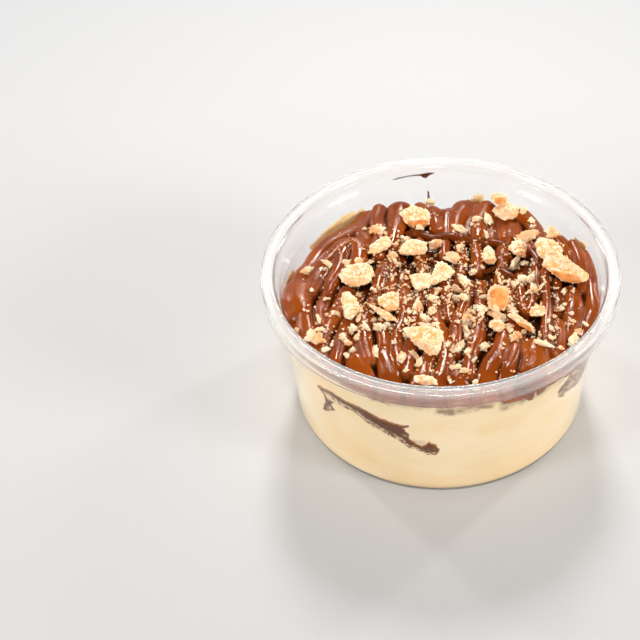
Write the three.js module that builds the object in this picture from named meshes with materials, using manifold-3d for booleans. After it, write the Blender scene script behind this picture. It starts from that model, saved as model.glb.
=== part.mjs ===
import * as THREE from 'three'
import { mergeVertices } from 'three/addons/utils/BufferGeometryUtils.js'
import Module from 'manifold-3d'

const wasm = await Module()
wasm.setup()
const { clamp, degToRad, lerp, mapLinear, radToDeg, smoothstep } = THREE.MathUtils

// A cream and chocolate dessert in a clear plastic cup, topped with crumbled biscuit.
// Millimetres, +Z up, origin on the table under the middle of the cup. The front is -Y.

// Cup
const cupHeight = 57.4 // crest of the lip above the table
const rimRadius = 58.5 // outer edge of the flange
const lipRadius = 54.85 // crest of the lip
const neckRadius = 54.05 // inside of the straight neck under the lip
const wallTopRadius = 53.25 // outside of the tapered wall, under the neck
const wallTopHeight = 49.5
const footRadius = 50.95 // outside of the wall, carried down to the table
const heelRadius = 4.3 // rounding between wall and foot
const wall = 0.6 // plastic thickness
const skirtBottom = 51.5 // lower edge of the skirt that hangs from the flange
const panelRise = 1.2 // hollow under the base, inside the foot ring
const footRingWidth = 3
const cupSides = 36

// Contents
const gap = 0.3 // clear distance between touching pieces
const contentsTop = 53 // the filling is trimmed to the cup up to here
const topStepAcross = 1.85 // mesh of the chocolate's surface, across and along the strands
const topStepAlong = 3.85
const seamStep = 7 // mesh of the seam between chocolate and cream
const meshReach = 56 // half side of the square that the surfaces cover
const blockDepth = 60 // how far a block under a surface reaches down
const mergeReach = 1e-4 // corners closer than this are one

// The topping was laid out on a level chart, as seen from the front and above.
const eye = { y: -263.4, z: 286.5 }
const chartLevel = 44.5

// Mean level of the chocolate between its strands, from the front wall to the back wall.
const levelAlongY = [[-53, 45.2], [-10, 43.9], [18, 42.2], [53, 38.6]]
const heaps = [
  { x: -37, y: -33, rise: 2.2, reach: 13 },
  { x: 47, y: 20, rise: 3.6, reach: 12 },
  { x: -52, y: 18, rise: -3.6, reach: 8 },
]

// Height of the seam between cream and chocolate at the wall, by degrees from the front.
const seamByAngle = [
  [-180, 36.5], [-150, 35.5], [-120, 36], [-92, 41], [-62, 45.6], [-24, 45.2], [17, 45.5], [22, 42.8],
  [32, 40.4], [45, 41.4], [60, 38.6], [80, 38.5], [110, 41], [150, 38.5], [180, 36.5],
]
const seamInside = 41
const seamBand = { from: 38, to: 50 } // radii between which the cream rises or falls to the seam
const leastCover = 1.2 // chocolate over the cream, at least
const strandWiden = 1.15
const strandRoundness = 0.9 // drop from crest to side, as a share of the half width

// Piped strands, back to front on the chart: half width and rise from first to last point.
const strands = [
  { half: [3.0, 2.4], rise: [5.2, 3.0],
    path: [[-22.4, 44.5], [-22.8, 39], [-22, 32], [-21.6, 25], [-22, 19]] },
  { half: [3.4, 2.6], rise: [3.4, 2.6], path: [[-26, 40], [-29, 36.5], [-31.5, 32.5]] },
  { half: [2.6, 2.2], rise: [3.6, 2.6],
    path: [[-49, 2], [-46.6, 9], [-43, 18], [-38.5, 26], [-33, 31.6], [-29.4, 32.6], [-27.2, 29.5],
      [-26.6, 23]] },
  { half: [2.6, 2.2], rise: [3.2, 2.4],
    path: [[-44, 0], [-42.2, 8], [-39, 16.5], [-35, 23.5], [-31.2, 26.6], [-28.9, 24.5], [-28.6, 18],
      [-29, 13]] },
  { half: [2.4, 2.2], rise: [2.8, 2.6], path: [[-33, 21.5], [-35, 15], [-37, 7], [-38.4, 1]] },
  { half: [5.6, 5.0], rise: [3.6, 3.4], path: [[-47.5, 2], [-47.8, -3], [-46.2, -8]] },
  { half: [3.6, 3.6], rise: [3.0, 3.0], path: [[-44.5, -11], [-43.6, -17], [-42, -24]] },
  { half: [2.0, 2.2], rise: [2.6, 3.0], path: [[-36, 5], [-37.6, -1], [-39, -8], [-38.8, -15]] },
  { half: [2.5, 2.8], rise: [2.8, 3.2],
    path: [[-31, 0], [-33.4, -8], [-36, -16], [-37.8, -24], [-38.2, -29]] },
  { half: [2.4, 2.4], rise: [2.4, 2.8], path: [[-27, -2], [-28.8, -12], [-31, -22], [-33, -31]] },
  { half: [2.2, 2.6], rise: [2.6, 3.2],
    path: [[-20, 14], [-21, 4], [-22.5, -5], [-24.4, -14], [-24.2, -22], [-22, -30]] },
  { half: [2.6, 3.0], rise: [1.8, 2.6], path: [[-28, -18], [-27.4, -27], [-24, -36], [-22.6, -40]] },
  { half: [2.2, 2.4], rise: [2.4, 2.8],
    path: [[-17.5, 14], [-17, 4], [-17.6, -6], [-18.6, -16], [-17.6, -25]] },
  { half: [2.2, 2.4], rise: [2.6, 3.2],
    path: [[-12.6, 9], [-12, -2], [-12.2, -12], [-14, -20], [-14, -28], [-12.8, -34]] },
  { half: [3.0, 3.8], rise: [2.8, 3.4], path: [[-17.6, -28], [-16, -35], [-15.2, -43]] },
  { half: [2.2, 2.4], rise: [2.2, 2.8], path: [[-7, 0], [-8, -8], [-8.6, -16], [-9.6, -26], [-10.4, -37]] },
  { half: [2.8, 3.2], rise: [2.8, 3.4], path: [[-2.8, -28], [-5, -35], [-7.2, -44]] },
  { half: [2.2, 3.0], rise: [2.4, 3.4],
    path: [[-3, 0], [-1.6, -10], [0.5, -20], [1.8, -28], [0.5, -36], [-1.6, -44]] },
  { half: [2.0, 2.0], rise: [2.4, 2.4], path: [[1.6, 12], [2, 3], [2.4, -6], [2.8, -13]] },
  { half: [2.0, 2.2], rise: [2.6, 2.8], path: [[9.4, 4], [7.6, -5], [5.6, -13], [4.8, -21], [4.2, -28]] },
  { half: [3.6, 4.0], rise: [2.6, 3.0], path: [[5.4, -37], [5.6, -45]] },
  { half: [2.2, 2.4], rise: [2.4, 2.8],
    path: [[13.4, 4], [12.6, -7], [12, -16], [10.8, -24], [9, -31], [8.6, -38]] },
  { half: [2.2, 2.0], rise: [2.4, 2.4], path: [[21.5, 23], [21.3, 16], [20.4, 8], [18.4, 0], [17, -8]] },
  { half: [3.2, 4.6], rise: [3.2, 3.4], path: [[20.6, -20], [18.6, -27], [15.8, -34], [13.6, -43]] },
  { half: [2.2, 2.6], rise: [2.8, 3.4], path: [[25, -21], [23, -29], [20.8, -36], [20, -42]] },
  { half: [1.8, 2.2], rise: [2.4, 2.8], path: [[28.2, -23], [26.2, -30], [24.6, -37]] },
  { half: [4.4, 5.0], rise: [3.0, 3.2], path: [[31.2, -22], [31, -28], [29.6, -34]] },
  { half: [1.6, 3.9], rise: [2.8, 4.0],
    path: [[35.6, 11], [35.4, 2], [35.2, -6], [35.6, -14], [36.4, -21], [36.4, -26]] },
  { half: [3.2, 3.4], rise: [3.0, 3.4], path: [[44.4, 1], [45, -6], [43.6, -13], [41.4, -21]] },
  { half: [2.4, 2.6], rise: [2.8, 3.2],
    path: [[50.4, 20], [51.2, 11], [51.2, 2], [50.4, -7], [48.4, -14], [45, -22]] },
  { half: [1.6, 1.6], rise: [2.6, 2.4],
    path: [[26.6, 8], [26.5, 1], [27.2, -6], [28.7, -9], [30, -5], [30.2, 2], [30.6, 8]] },
  { half: [1.7, 1.8], rise: [2.4, 2.4], path: [[39.4, 5], [39.4, -3], [38.8, -10]] },
  { half: [2.0, 2.0], rise: [2.2, 2.2], path: [[23.6, 6], [23, -3], [23.6, -12], [25, -19]] },
  { half: [4.2, 2.6], rise: [5.6, 3.0], path: [[-15.6, 45], [-16.4, 40], [-17, 32], [-17.4, 23]] },
  { half: [3.0, 2.6], rise: [5.0, 3.2], path: [[-7.6, 46], [-8.4, 40], [-9, 33]] },
  { half: [2.8, 2.4], rise: [4.6, 2.8], path: [[-2.5, 44], [-2, 38], [-1, 32]] },
  { half: [5.2, 2.8], rise: [6.0, 3.0], path: [[8.6, 47], [7, 42], [5.2, 36], [4.6, 30]] },
  { half: [4.0, 2.6], rise: [6.2, 3.0], path: [[17, 47], [14.8, 42], [13.6, 36], [13, 29]] },
  { half: [3.2, 2.8], rise: [4.0, 3.0], path: [[22, 43], [22, 36], [22.6, 29]] },
  { half: [3.2, 2.6], rise: [6.0, 3.2], path: [[29.6, 42], [32.6, 38], [34.4, 33.5], [35, 28]] },
  { half: [2.2, 2.2], rise: [3.0, 2.8], path: [[27.6, 36], [28, 30], [29, 24]] },
  { half: [2.2, 2.2], rise: [3.6, 3.0], path: [[40, 31], [43.4, 26.5], [45, 20], [45.4, 14]] },
  { half: [1.7, 2.0], rise: [4.4, 3.0], path: [[46.6, 26], [48.2, 19], [48.6, 10], [48, 2]] },
  { half: [1.8, 1.8], rise: [2.6, 2.4], path: [[6.6, 26], [7.4, 18], [7.4, 11], [5.6, 4]] },
  { half: [1.8, 1.8], rise: [2.4, 2.2], path: [[1.6, 25], [1.4, 18]] },
  { half: [2.2, 2.0], rise: [2.4, 2.2], path: [[12, 24], [12.6, 17], [12.4, 11]] },
  { half: [2.2, 2.0], rise: [2.4, 2.2], path: [[-8, 26], [-7, 15], [-6.6, 7]] },
  { half: [2.0, 2.0], rise: [2.4, 2.2], path: [[33.4, 22], [33, 12], [32, 4], [31.6, -2]] },
]

// Thin threads of chocolate that cross over the strands.
const threads = [
  { radius: 1.35,
    path: [[-13, 30.4], [-8, 30.3], [-3, 28.8], [2, 28.8], [8, 27.2], [14, 26], [20, 26.4], [25.4, 23.4]] },
  { radius: 0.95,
    path: [[-9.5, 17], [-5, 17], [-1, 15.3], [3, 12.3], [6, 10.8], [15, 11], [19, 12.6], [21.5, 9.6],
      [26, 6]] },
  { radius: 1.15, path: [[31, 20.8], [33, 17], [34.2, 12]] },
]
const threadRise = 2.4 // underside of a thread above the level between strands
const threadLift = 0.6 // share of its radius that a thread lies above that
const threadSides = 6

// Chocolate seen through the wall: angle from the front, height, half height of the smear.
const smearDepth = 2.6 // how far the smears reach in from the wall
const smearSides = 6
const rightSmear = [
  [78, 39.6, 2.4], [70, 37, 4.4], [62, 35, 6.8], [55, 35, 5.8], [50, 34, 3.4], [45.5, 34, 1.0],
]
const leftSmear = [
  [-47.5, 35.8, 0.5], [-42, 36.6, 1.4], [-33, 36.2, 2.0], [-24, 34.4, 3.0], [-17, 32, 3.6], [-12, 29.6, 3.8],
  [-7.5, 26, 2.6], [-2.5, 24.6, 2.6], [0, 23.8, 1.0],
]
const leftBranch = [[-44.9, 35.2, 0.8], [-42.8, 32, 1.5], [-42.4, 29.4, 1.8], [-45.2, 26.2, 0.8]]

// Broken biscuit: middle on the chart, size along, across and up, turn in degrees.
const biscuits = [
  { at: [-9.5, 39.5], size: [10.5, 9, 6.5], turn: 0 },
  { at: [24, 43], size: [10, 7.5, 6], turn: -12 },
  { at: [27.2, 22], size: [8.6, 5.8, 5], turn: 98 },
  { at: [37.4, 23.6], size: [9.5, 7.6, 5.5], turn: 20 },
  { at: [43, 11.4], size: [16, 9, 6], turn: -40 },
  { at: [-28.5, 7.2], size: [11, 10.4, 6.5], turn: 10 },
  { at: [-6, 4.4], size: [10, 7.6, 3.8], turn: 26,
    secondEnd: { at: [0.8, 9], size: [12.4, 6.6, 3.8], turn: 58 } },
  { at: [20.9, 49.6], size: [8, 4.6, 6], turn: -24, lift: 3.8 },
  { at: [-29.8, -7.6], size: [11.4, 5.4, 4.4], turn: 108 },
  { at: [-16.8, -5], size: [7.6, 6, 4.4], turn: 75 },
  { at: [-19.6, -9.6], size: [13.6, 3.4, 3.4], turn: -41 },
  { at: [-4.6, -23.4], size: [12, 10, 6.6], turn: -28 },
  { at: [-20.8, 23.4], size: [8.6, 7.4, 5], turn: 50 },
  { at: [-10.2, 21.2], size: [9.4, 7.2, 5], turn: 8 },
  { at: [16.6, 18], size: [8, 5, 4.4], turn: 100 },
  { at: [20, -3], size: [9.8, 6.4, 3.6], turn: 84 },
  { at: [26.6, -14.8], size: [10.4, 3.2, 3.4], turn: -56 },
  { at: [18.6, -16.4], size: [6, 5, 3.8], turn: 0 },
  { at: [32.2, -9.6], size: [6.6, 5.6, 3.8], turn: 40 },
  { at: [-4.6, -40.8], size: [7, 3.2, 3], turn: -6 },
]
const biscuitSink = 0.3 // share of a biscuit's height that lies below the crests
const biscuitDetail = 1 // times that each face of the starting lump is divided
const biscuitCrags = 0.42 // spread of the corners, as a share of the lump's reach
const crestRise = 2.6 // usual crest above the level between strands
const neighbourReach = 14 // biscuits closer than this on the chart may touch

// Smaller pieces fused to the chocolate where they stand out: chart place and size.
const smallPieces = [
  [-24, 29.2, 4.2], [16.4, 36.2, 4.4], [4, 16, 5], [-40, -23.4, 4.6], [31.6, 27, 4.4], [40.2, 30, 4.6],
  [-45, 7.6, 3.6], [-2, 24, 4.4], [32, -27, 4.2], [42.4, -23.6, 4], [8.2, -12.4, 4.6], [7.2, -2.2, 4.4],
  [20, -10.6, 5], [-7.6, -7.6, 3.6], [-5.8, -12.2, 3.8], [-3, -10.4, 3.4], [24, -21.8, 4], [7.6, 5.4, 4],
  [8.2, -18.4, 3.8], [-28.4, -17.6, 4], [-4.2, 47.6, 4], [30.6, 5.6, 4.2], [27.4, 5, 3.8],
  [13.4, -26.4, 3.6], [6.2, -28, 4], [-3, 30.6, 4], [7.6, 31.4, 4], [-16.2, 17.6, 4], [-32, 14.4, 3.4],
  [-12, 27.4, 3.8], [11.6, -8.4, 4], [25.4, -9, 3.6], [-12, -32.6, 3.2],
]
const smallPieceCrags = 0.5
const smallPieceShape = { across: 0.85, up: 0.75, lift: 0.12 } // as shares of the size
const smallPieceRoom = 0.62 // share of the size kept clear of a neighbour
const toppingReach = 51 // small pieces stay inside this radius
const looseCrumbs = 22
const crumbSize = [1.6, 2.8]
const crumbPatch = { x: 2, y: 0, reachX: 38, reachY: 34 }
const crumbTries = 900
const firstSeed = { biscuit: 1, smallPiece: 101, loose: 17 }

function finish(name, color, roughness) {
  return new THREE.MeshStandardMaterial({ name, color, roughness, metalness: 0 })
}

const cupMaterial = finish('clear_plastic', 0xf2f6f7, 0.05)
cupMaterial.transparent = true
cupMaterial.opacity = 0.35
const creamMaterial = finish('cream', 0xefdcae, 0.45)
const chocolateMaterial = finish('chocolate', 0x5a2714, 0.2)
const biscuitMaterial = finish('biscuit', 0xe6c88c, 0.9)

// Numbers between 0 and 1 in an order that looks random, the same for the same seed.
function randomFrom(seed) {
  let state = seed
  return () => {
    state = (state * 1664525 + 1013904223) % 4294967296
    return state / 4294967296
  }
}

// A closed solid from any closed three.js geometry.
function solidOf(geometry) {
  const bare = geometry.clone()
  bare.deleteAttribute('normal')
  bare.deleteAttribute('uv')
  const merged = mergeVertices(bare, mergeReach)
  const corner = merged.index.array
  const kept = []
  for (let i = 0; i < corner.length; i += 3) {
    const [a, b, c] = [corner[i], corner[i + 1], corner[i + 2]]
    if (a !== b && b !== c && c !== a) kept.push(a, b, c)
  }
  const vertProperties = new Float32Array(merged.attributes.position.array)
  return new wasm.Manifold(new wasm.Mesh({ numProp: 3, vertProperties, triVerts: new Uint32Array(kept) }))
}

// The largest connected body of a solid, without loose scraps.
function mainBody(solid) {
  const mesh = solid.getMesh()
  const owner = Array.from({ length: mesh.vertProperties.length / mesh.numProp }, (_, i) => i)
  const rootOf = (i) => {
    while (owner[i] !== i) {
      owner[i] = owner[owner[i]]
      i = owner[i]
    }
    return i
  }
  for (let i = 0; i < mesh.triVerts.length; i += 3) {
    owner[rootOf(mesh.triVerts[i])] = rootOf(mesh.triVerts[i + 1])
    owner[rootOf(mesh.triVerts[i + 1])] = rootOf(mesh.triVerts[i + 2])
  }
  const count = new Map()
  for (const v of mesh.triVerts) count.set(rootOf(v), (count.get(rootOf(v)) ?? 0) + 1)
  const largest = [...count.entries()].sort((a, b) => b[1] - a[1])[0][0]
  const kept = []
  for (let i = 0; i < mesh.triVerts.length; i += 3) {
    if (rootOf(mesh.triVerts[i]) === largest) kept.push(...mesh.triVerts.subarray(i, i + 3))
  }
  const geometry = new THREE.BufferGeometry()
  geometry.setAttribute('position', new THREE.BufferAttribute(positionsOf(mesh), 3))
  geometry.setIndex(kept)
  return geometry
}

function positionsOf(mesh) {
  const out = new Float32Array((mesh.vertProperties.length / mesh.numProp) * 3)
  for (let i = 0; i * mesh.numProp < mesh.vertProperties.length; i++) {
    for (let k = 0; k < 3; k++) out[i * 3 + k] = mesh.vertProperties[i * mesh.numProp + k]
  }
  return out
}

// Turned shape about +Z from [radius, height] points.
function turned(points, sides) {
  const lathe = new THREE.LatheGeometry(points.map(([r, z]) => new THREE.Vector2(r, z)), sides)
  return lathe.rotateX(Math.PI / 2)
}

function arc(centreR, centreZ, radius, fromDegrees, toDegrees, steps) {
  const points = []
  for (let i = 0; i <= steps; i++) {
    const a = degToRad(lerp(fromDegrees, toDegrees, i / steps))
    points.push([centreR + radius * Math.cos(a), centreZ + radius * Math.sin(a)])
  }
  return points
}

// Inside face of the cup from the floor's middle up to the neck, moved in by an inset.
function insideProfile(inset) {
  const floor = panelRise + wall + inset
  const heelCentre = footRadius + 0.2 - heelRadius
  const innerHeel = heelRadius - wall - inset
  return [
    [0, floor],
    ...arc(heelCentre, floor + innerHeel, innerHeel, -90, 0, 3),
    [wallTopRadius - wall - inset, wallTopHeight - 0.3],
    [neckRadius - inset, skirtBottom + 0.4],
  ]
}

function cup() {
  const flangeTop = cupHeight - 0.4
  const outside = [
    [0, panelRise],
    [footRadius - heelRadius - footRingWidth - 0.8, panelRise],
    [footRadius - heelRadius - footRingWidth, 0],
    ...arc(footRadius + 0.2 - heelRadius, heelRadius, heelRadius, -90, 0, 4),
    [wallTopRadius, wallTopHeight],
    [neckRadius + wall, skirtBottom + 0.2],
    [neckRadius + wall, cupHeight - 2.1],
    [lipRadius + wall, flangeTop - wall],
    [rimRadius - wall - 0.4, flangeTop - wall - 0.5],
    [rimRadius - wall - 0.3, skirtBottom],
    [rimRadius - 0.3, skirtBottom],
    [rimRadius, cupHeight - 1.2],
    [rimRadius - 0.5, cupHeight - 0.75],
    [lipRadius + 1.6, flangeTop],
    [lipRadius + 0.5, cupHeight],
    [lipRadius, cupHeight],
  ]
  const lip = [[lipRadius - 0.6, cupHeight - 0.6], [neckRadius, cupHeight - 2.4]]
  return turned([...outside, ...lip, ...insideProfile(0).reverse()], cupSides)
}

// The room that the contents fill, a gap clear of the cup, shut at the top.
function contentsRoom() {
  return solidOf(turned([...insideProfile(gap), [neckRadius - gap, contentsTop], [0, contentsTop]], cupSides))
}

function alongTable(table, at) {
  if (at <= table[0][0]) return table[0][1]
  for (let i = 1; i < table.length; i++) {
    const [x0, y0] = table[i - 1]
    const [x1, y1] = table[i]
    if (at <= x1) return lerp(y0, y1, smoothstep(at, x0, x1))
  }
  return table[table.length - 1][1]
}

// Level of the chocolate between its strands.
function levelBetween(x, y) {
  let level = alongTable(levelAlongY, y)
  for (const heap of heaps) {
    level += heap.rise * Math.exp(-((x - heap.x) ** 2 + (y - heap.y) ** 2) / (2 * heap.reach ** 2))
  }
  return level
}

// Moves a chart point along the line of sight to a height above the table.
function fromChart([x, y], z) {
  const stretch = (eye.z - z) / (eye.z - chartLevel)
  return new THREE.Vector3(x * stretch, eye.y + (y - eye.y) * stretch, z)
}

const laidStrands = strands.map(({ half, rise, path }) => {
  const middle = path.map(([x, y], i) => {
    const along = i / (path.length - 1)
    return fromChart([x, y], levelBetween(x, y) + lerp(rise[0], rise[1], along))
  })
  const points = new THREE.CatmullRomCurve3(middle).getPoints(path.length * 2)
  return { half, points }
})

// Top of the cream under the chocolate, which meets the wall at the seam.
function creamTop(x, y) {
  const seam = alongTable(seamByAngle, radToDeg(Math.atan2(x, -y)))
  const nearWall = smoothstep(Math.hypot(x, y), seamBand.from, seamBand.to)
  return lerp(Math.min(seamInside, levelBetween(x, y) - leastCover), seam, nearWall)
}

// Top of the chocolate: rounded strands over the level between them.
function chocolateTop(x, y) {
  let top = Math.max(levelBetween(x, y), creamTop(x, y) + leastCover)
  for (const { half, points } of laidStrands) {
    for (let i = 1; i < points.length; i++) {
      const a = points[i - 1]
      const b = points[i]
      const run = (b.x - a.x) ** 2 + (b.y - a.y) ** 2
      const t = clamp(((x - a.x) * (b.x - a.x) + (y - a.y) * (b.y - a.y)) / run, 0, 1)
      const away = Math.hypot(x - lerp(a.x, b.x, t), y - lerp(a.y, b.y, t))
      const width = lerp(half[0], half[1], (i - 1 + t) / (points.length - 1)) * strandWiden
      if (away >= width) continue
      const crest = lerp(a.z, b.z, t)
      top = Math.max(top, crest - width * strandRoundness * (1 - Math.sqrt(1 - (away / width) ** 2)))
    }
  }
  return top
}

// A block whose top follows height(x, y).
function blockUnder(height, stepX, stepY) {
  const countX = Math.round((2 * meshReach) / stepX)
  const countY = Math.round((2 * meshReach) / stepY)
  const box = new THREE.BoxGeometry(2 * meshReach, 2 * meshReach, blockDepth, countX, countY, 1)
  const place = box.attributes.position
  for (let i = 0; i < place.count; i++) {
    if (place.getZ(i) > 0) place.setZ(i, height(place.getX(i), place.getY(i)))
  }
  return solidOf(box)
}

// A round bar along a path, with its own width and depth at each station, closed at both ends.
function bar(points, widths, depths, outwards, sides) {
  const path = new THREE.CatmullRomCurve3(points)
  const stations = points.length * 2
  const profile = [[0, 0]]
  for (let i = 0; i <= stations; i++) profile.push([1, i / stations])
  profile.push([0, 1])
  const rod = new THREE.LatheGeometry(profile.map(([r, t]) => new THREE.Vector2(r, t)), sides)
  const place = rod.attributes.position
  const vertex = new THREE.Vector3()
  for (let i = 0; i < place.count; i++) {
    vertex.fromBufferAttribute(place, i)
    const along = clamp(vertex.y, 0, 1)
    const middle = path.getPoint(along)
    const forward = path.getTangent(along)
    const depthWay = outwards(middle).addScaledVector(forward, -outwards(middle).dot(forward)).normalize()
    const widthWay = new THREE.Vector3().crossVectors(depthWay, forward)
    const reach = along * (points.length - 1)
    const low = Math.min(Math.floor(reach), points.length - 2)
    const width = lerp(widths[low], widths[low + 1], reach - low)
    const depth = lerp(depths[low], depths[low + 1], reach - low)
    middle.addScaledVector(widthWay, vertex.z * width).addScaledVector(depthWay, vertex.x * depth)
    place.setXYZ(i, middle.x, middle.y, middle.z)
  }
  return solidOf(rod)
}

// A smear on the inside of the wall from [angle, height, half height] stations.
function wallSmear(stations, margin) {
  const radius = (z) => mapLinear(z, 0, wallTopHeight, footRadius, wallTopRadius) - wall
  const points = stations.map(([angle, z]) => {
    const a = degToRad(angle)
    return new THREE.Vector3(Math.sin(a) * radius(z), -Math.cos(a) * radius(z), z)
  })
  const widths = stations.map(([, , half]) => half + margin)
  const depths = stations.map(() => smearDepth + margin)
  return bar(points, widths, depths, (p) => new THREE.Vector3(p.x, p.y, 0).normalize(), smearSides)
}

function thread({ radius, path }) {
  const lift = threadRise + radius * threadLift
  const points = path.map(([x, y]) => fromChart([x, y], levelBetween(x, y) + lift))
  const radii = path.map(() => radius)
  return bar(points, radii, radii, () => new THREE.Vector3(0, 0, 1), threadSides)
}

// A craggy lump of biscuit with a size of one, the same for the same seed.
function crag(seed, detail, roughness) {
  const random = randomFrom(seed)
  const lump = mergeVertices(bareSphere(detail), mergeReach)
  const place = lump.attributes.position
  for (let i = 0; i < place.count; i++) {
    const reach = 1 + (random() - 0.5) * roughness
    place.setXYZ(i, place.getX(i) * reach, place.getY(i) * reach, place.getZ(i) * reach)
  }
  return lump
}

function bareSphere(detail) {
  const sphere = new THREE.IcosahedronGeometry(0.5, detail)
  sphere.deleteAttribute('normal')
  sphere.deleteAttribute('uv')
  return sphere
}

// A piece of biscuit on the crests of the strands, with a second end where it is shaped like a bone.
function biscuitAt({ at, size, turn, lift = 0, secondEnd }, seed, margin) {
  const level = levelBetween(at[0], at[1]) + crestRise + lift
  const middle = fromChart(at, level + size[2] * (0.5 - biscuitSink))
  const lump = crag(seed, biscuitDetail, biscuitCrags)
  lump.scale(size[0] + 2 * margin, size[1] + 2 * margin, size[2] + 2 * margin)
  lump.rotateZ(degToRad(turn))
  lump.translate(middle.x, middle.y, middle.z)
  const piece = solidOf(lump)
  return secondEnd ? piece.add(biscuitAt(secondEnd, seed, margin)) : piece
}

function smallPieceAt(x, y, size, seed) {
  const lump = crag(seed, 0, smallPieceCrags)
  lump.scale(size, size * smallPieceShape.across, size * smallPieceShape.up)
  lump.rotateZ(seed)
  lump.translate(x, y, chocolateTop(x, y) + size * smallPieceShape.lift)
  return solidOf(lump)
}

// Places of all the small pieces, clear of the biscuits and of the wall.
function smallPiecePlaces() {
  const ends = biscuits.flatMap((each) => (each.secondEnd ? [each, each.secondEnd] : [each]))
  const taken = ends.map(({ at, size }) => {
    const p = fromChart(at, levelBetween(at[0], at[1]) + crestRise)
    return { x: p.x, y: p.y, reach: Math.max(size[0], size[1]) / 2 }
  })
  const places = []
  const isFree = (x, y, size) => Math.hypot(x, y) + size < toppingReach
    && taken.every((t) => Math.hypot(t.x - x, t.y - y) > t.reach + size * smallPieceRoom + gap)
  const take = (x, y, size) => {
    if (!isFree(x, y, size)) return false
    places.push([x, y, size])
    taken.push({ x, y, reach: size * 0.5 })
    return true
  }
  for (const [x, y, size] of smallPieces) {
    const p = fromChart([x, y], levelBetween(x, y) + crestRise)
    take(p.x, p.y, size)
  }
  const random = randomFrom(firstSeed.loose)
  let loose = 0
  for (let i = 0; i < crumbTries && loose < looseCrumbs; i++) {
    const turnBy = random() * 2 * Math.PI
    const out = Math.sqrt(random())
    const x = crumbPatch.x + Math.cos(turnBy) * out * crumbPatch.reachX
    const y = crumbPatch.y + Math.sin(turnBy) * out * crumbPatch.reachY
    if (take(x, y, lerp(crumbSize[0], crumbSize[1], random()))) loose++
  }
  return places
}

const group = new THREE.Group()

function addPiece(name, geometry, material) {
  const mesh = new THREE.Mesh(geometry, material)
  mesh.name = name
  group.add(mesh)
}

const room = contentsRoom()

addPiece('cup', mainBody(solidOf(cup())), cupMaterial)

let cream = room.intersect(blockUnder(creamTop, seamStep, seamStep))
for (const stations of [rightSmear, leftSmear, leftBranch]) cream = cream.subtract(wallSmear(stations, gap))
addPiece('cream', mainBody(cream), creamMaterial)

const leftStreak = wallSmear(leftSmear, 0).add(wallSmear(leftBranch, 0)).intersect(room)
addPiece('chocolate_streak', mainBody(leftStreak), chocolateMaterial)

let chocolate = room
  .intersect(blockUnder(chocolateTop, topStepAcross, topStepAlong))
  .subtract(blockUnder((x, y) => creamTop(x, y) + gap, seamStep, seamStep))
  .add(wallSmear(rightSmear, 0).intersect(room))
for (const each of threads) chocolate = chocolate.add(thread(each))
biscuits.forEach((each, i) => {
  chocolate = chocolate.subtract(biscuitAt(each, firstSeed.biscuit + i, gap))
})
smallPiecePlaces().forEach(([x, y, size], i) => {
  chocolate = chocolate.add(smallPieceAt(x, y, size, firstSeed.smallPiece + i))
})
addPiece('chocolate', mainBody(chocolate), chocolateMaterial)

// Where two pieces of biscuit would touch, the later one gives way.
biscuits.forEach((each, i) => {
  let piece = biscuitAt(each, firstSeed.biscuit + i, 0).intersect(room)
  biscuits.slice(0, i).forEach((earlier, k) => {
    const apart = Math.hypot(earlier.at[0] - each.at[0], earlier.at[1] - each.at[1])
    if (apart < neighbourReach) piece = piece.subtract(biscuitAt(earlier, firstSeed.biscuit + k, gap))
  })
  addPiece(`biscuit_${String(i + 1).padStart(2, '0')}`, mainBody(piece), biscuitMaterial)
})

export default group
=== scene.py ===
import math
import bpy
import numpy as np
from mathutils import Euler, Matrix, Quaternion, Vector


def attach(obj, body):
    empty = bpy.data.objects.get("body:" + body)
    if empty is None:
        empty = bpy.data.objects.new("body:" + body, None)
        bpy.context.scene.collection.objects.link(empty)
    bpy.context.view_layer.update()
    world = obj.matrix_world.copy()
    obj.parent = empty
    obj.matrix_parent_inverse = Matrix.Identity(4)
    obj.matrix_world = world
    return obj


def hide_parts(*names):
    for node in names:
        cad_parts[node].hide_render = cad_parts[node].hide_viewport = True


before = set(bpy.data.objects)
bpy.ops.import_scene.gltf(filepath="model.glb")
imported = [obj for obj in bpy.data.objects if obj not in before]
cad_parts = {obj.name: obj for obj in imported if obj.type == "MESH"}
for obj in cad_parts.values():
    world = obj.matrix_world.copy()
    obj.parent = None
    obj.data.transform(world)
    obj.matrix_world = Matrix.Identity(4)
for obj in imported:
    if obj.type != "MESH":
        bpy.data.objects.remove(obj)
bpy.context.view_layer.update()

print("scene: frame loaded")

mm = 0.001
pi = math.pi
mergeGap = 0.000002  # metres, for points that count as one
latticeSize = 256  # flat noise repeats after this many units
solidLatticeSize = 64


# helpers

def deselectAll():
    if bpy.context.mode != "OBJECT":
        bpy.ops.object.mode_set(mode="OBJECT")
    bpy.ops.object.select_all(action="DESELECT")


def makeActive(piece):
    deselectAll()
    piece.select_set(True)
    bpy.context.view_layer.objects.active = piece


def editAll(piece):  # opens a piece in edit mode with everything selected
    makeActive(piece)
    bpy.ops.object.mode_set(mode="EDIT")
    bpy.ops.mesh.select_all(action="SELECT")


def leaveEdit():
    bpy.ops.object.mode_set(mode="OBJECT")


def readPlaces(piece):
    places = np.zeros(len(piece.data.vertices) * 3)
    piece.data.vertices.foreach_get("co", places)
    return places.reshape(-1, 3)


def writePlaces(piece, places):
    piece.data.vertices.foreach_set("co", np.asarray(places, float).ravel())
    piece.data.update()


def writeAttribute(piece, name, values):
    layer = piece.data.attributes.new(name, "FLOAT", "POINT")
    layer.data.foreach_set("value", np.asarray(values, np.float32))


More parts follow.
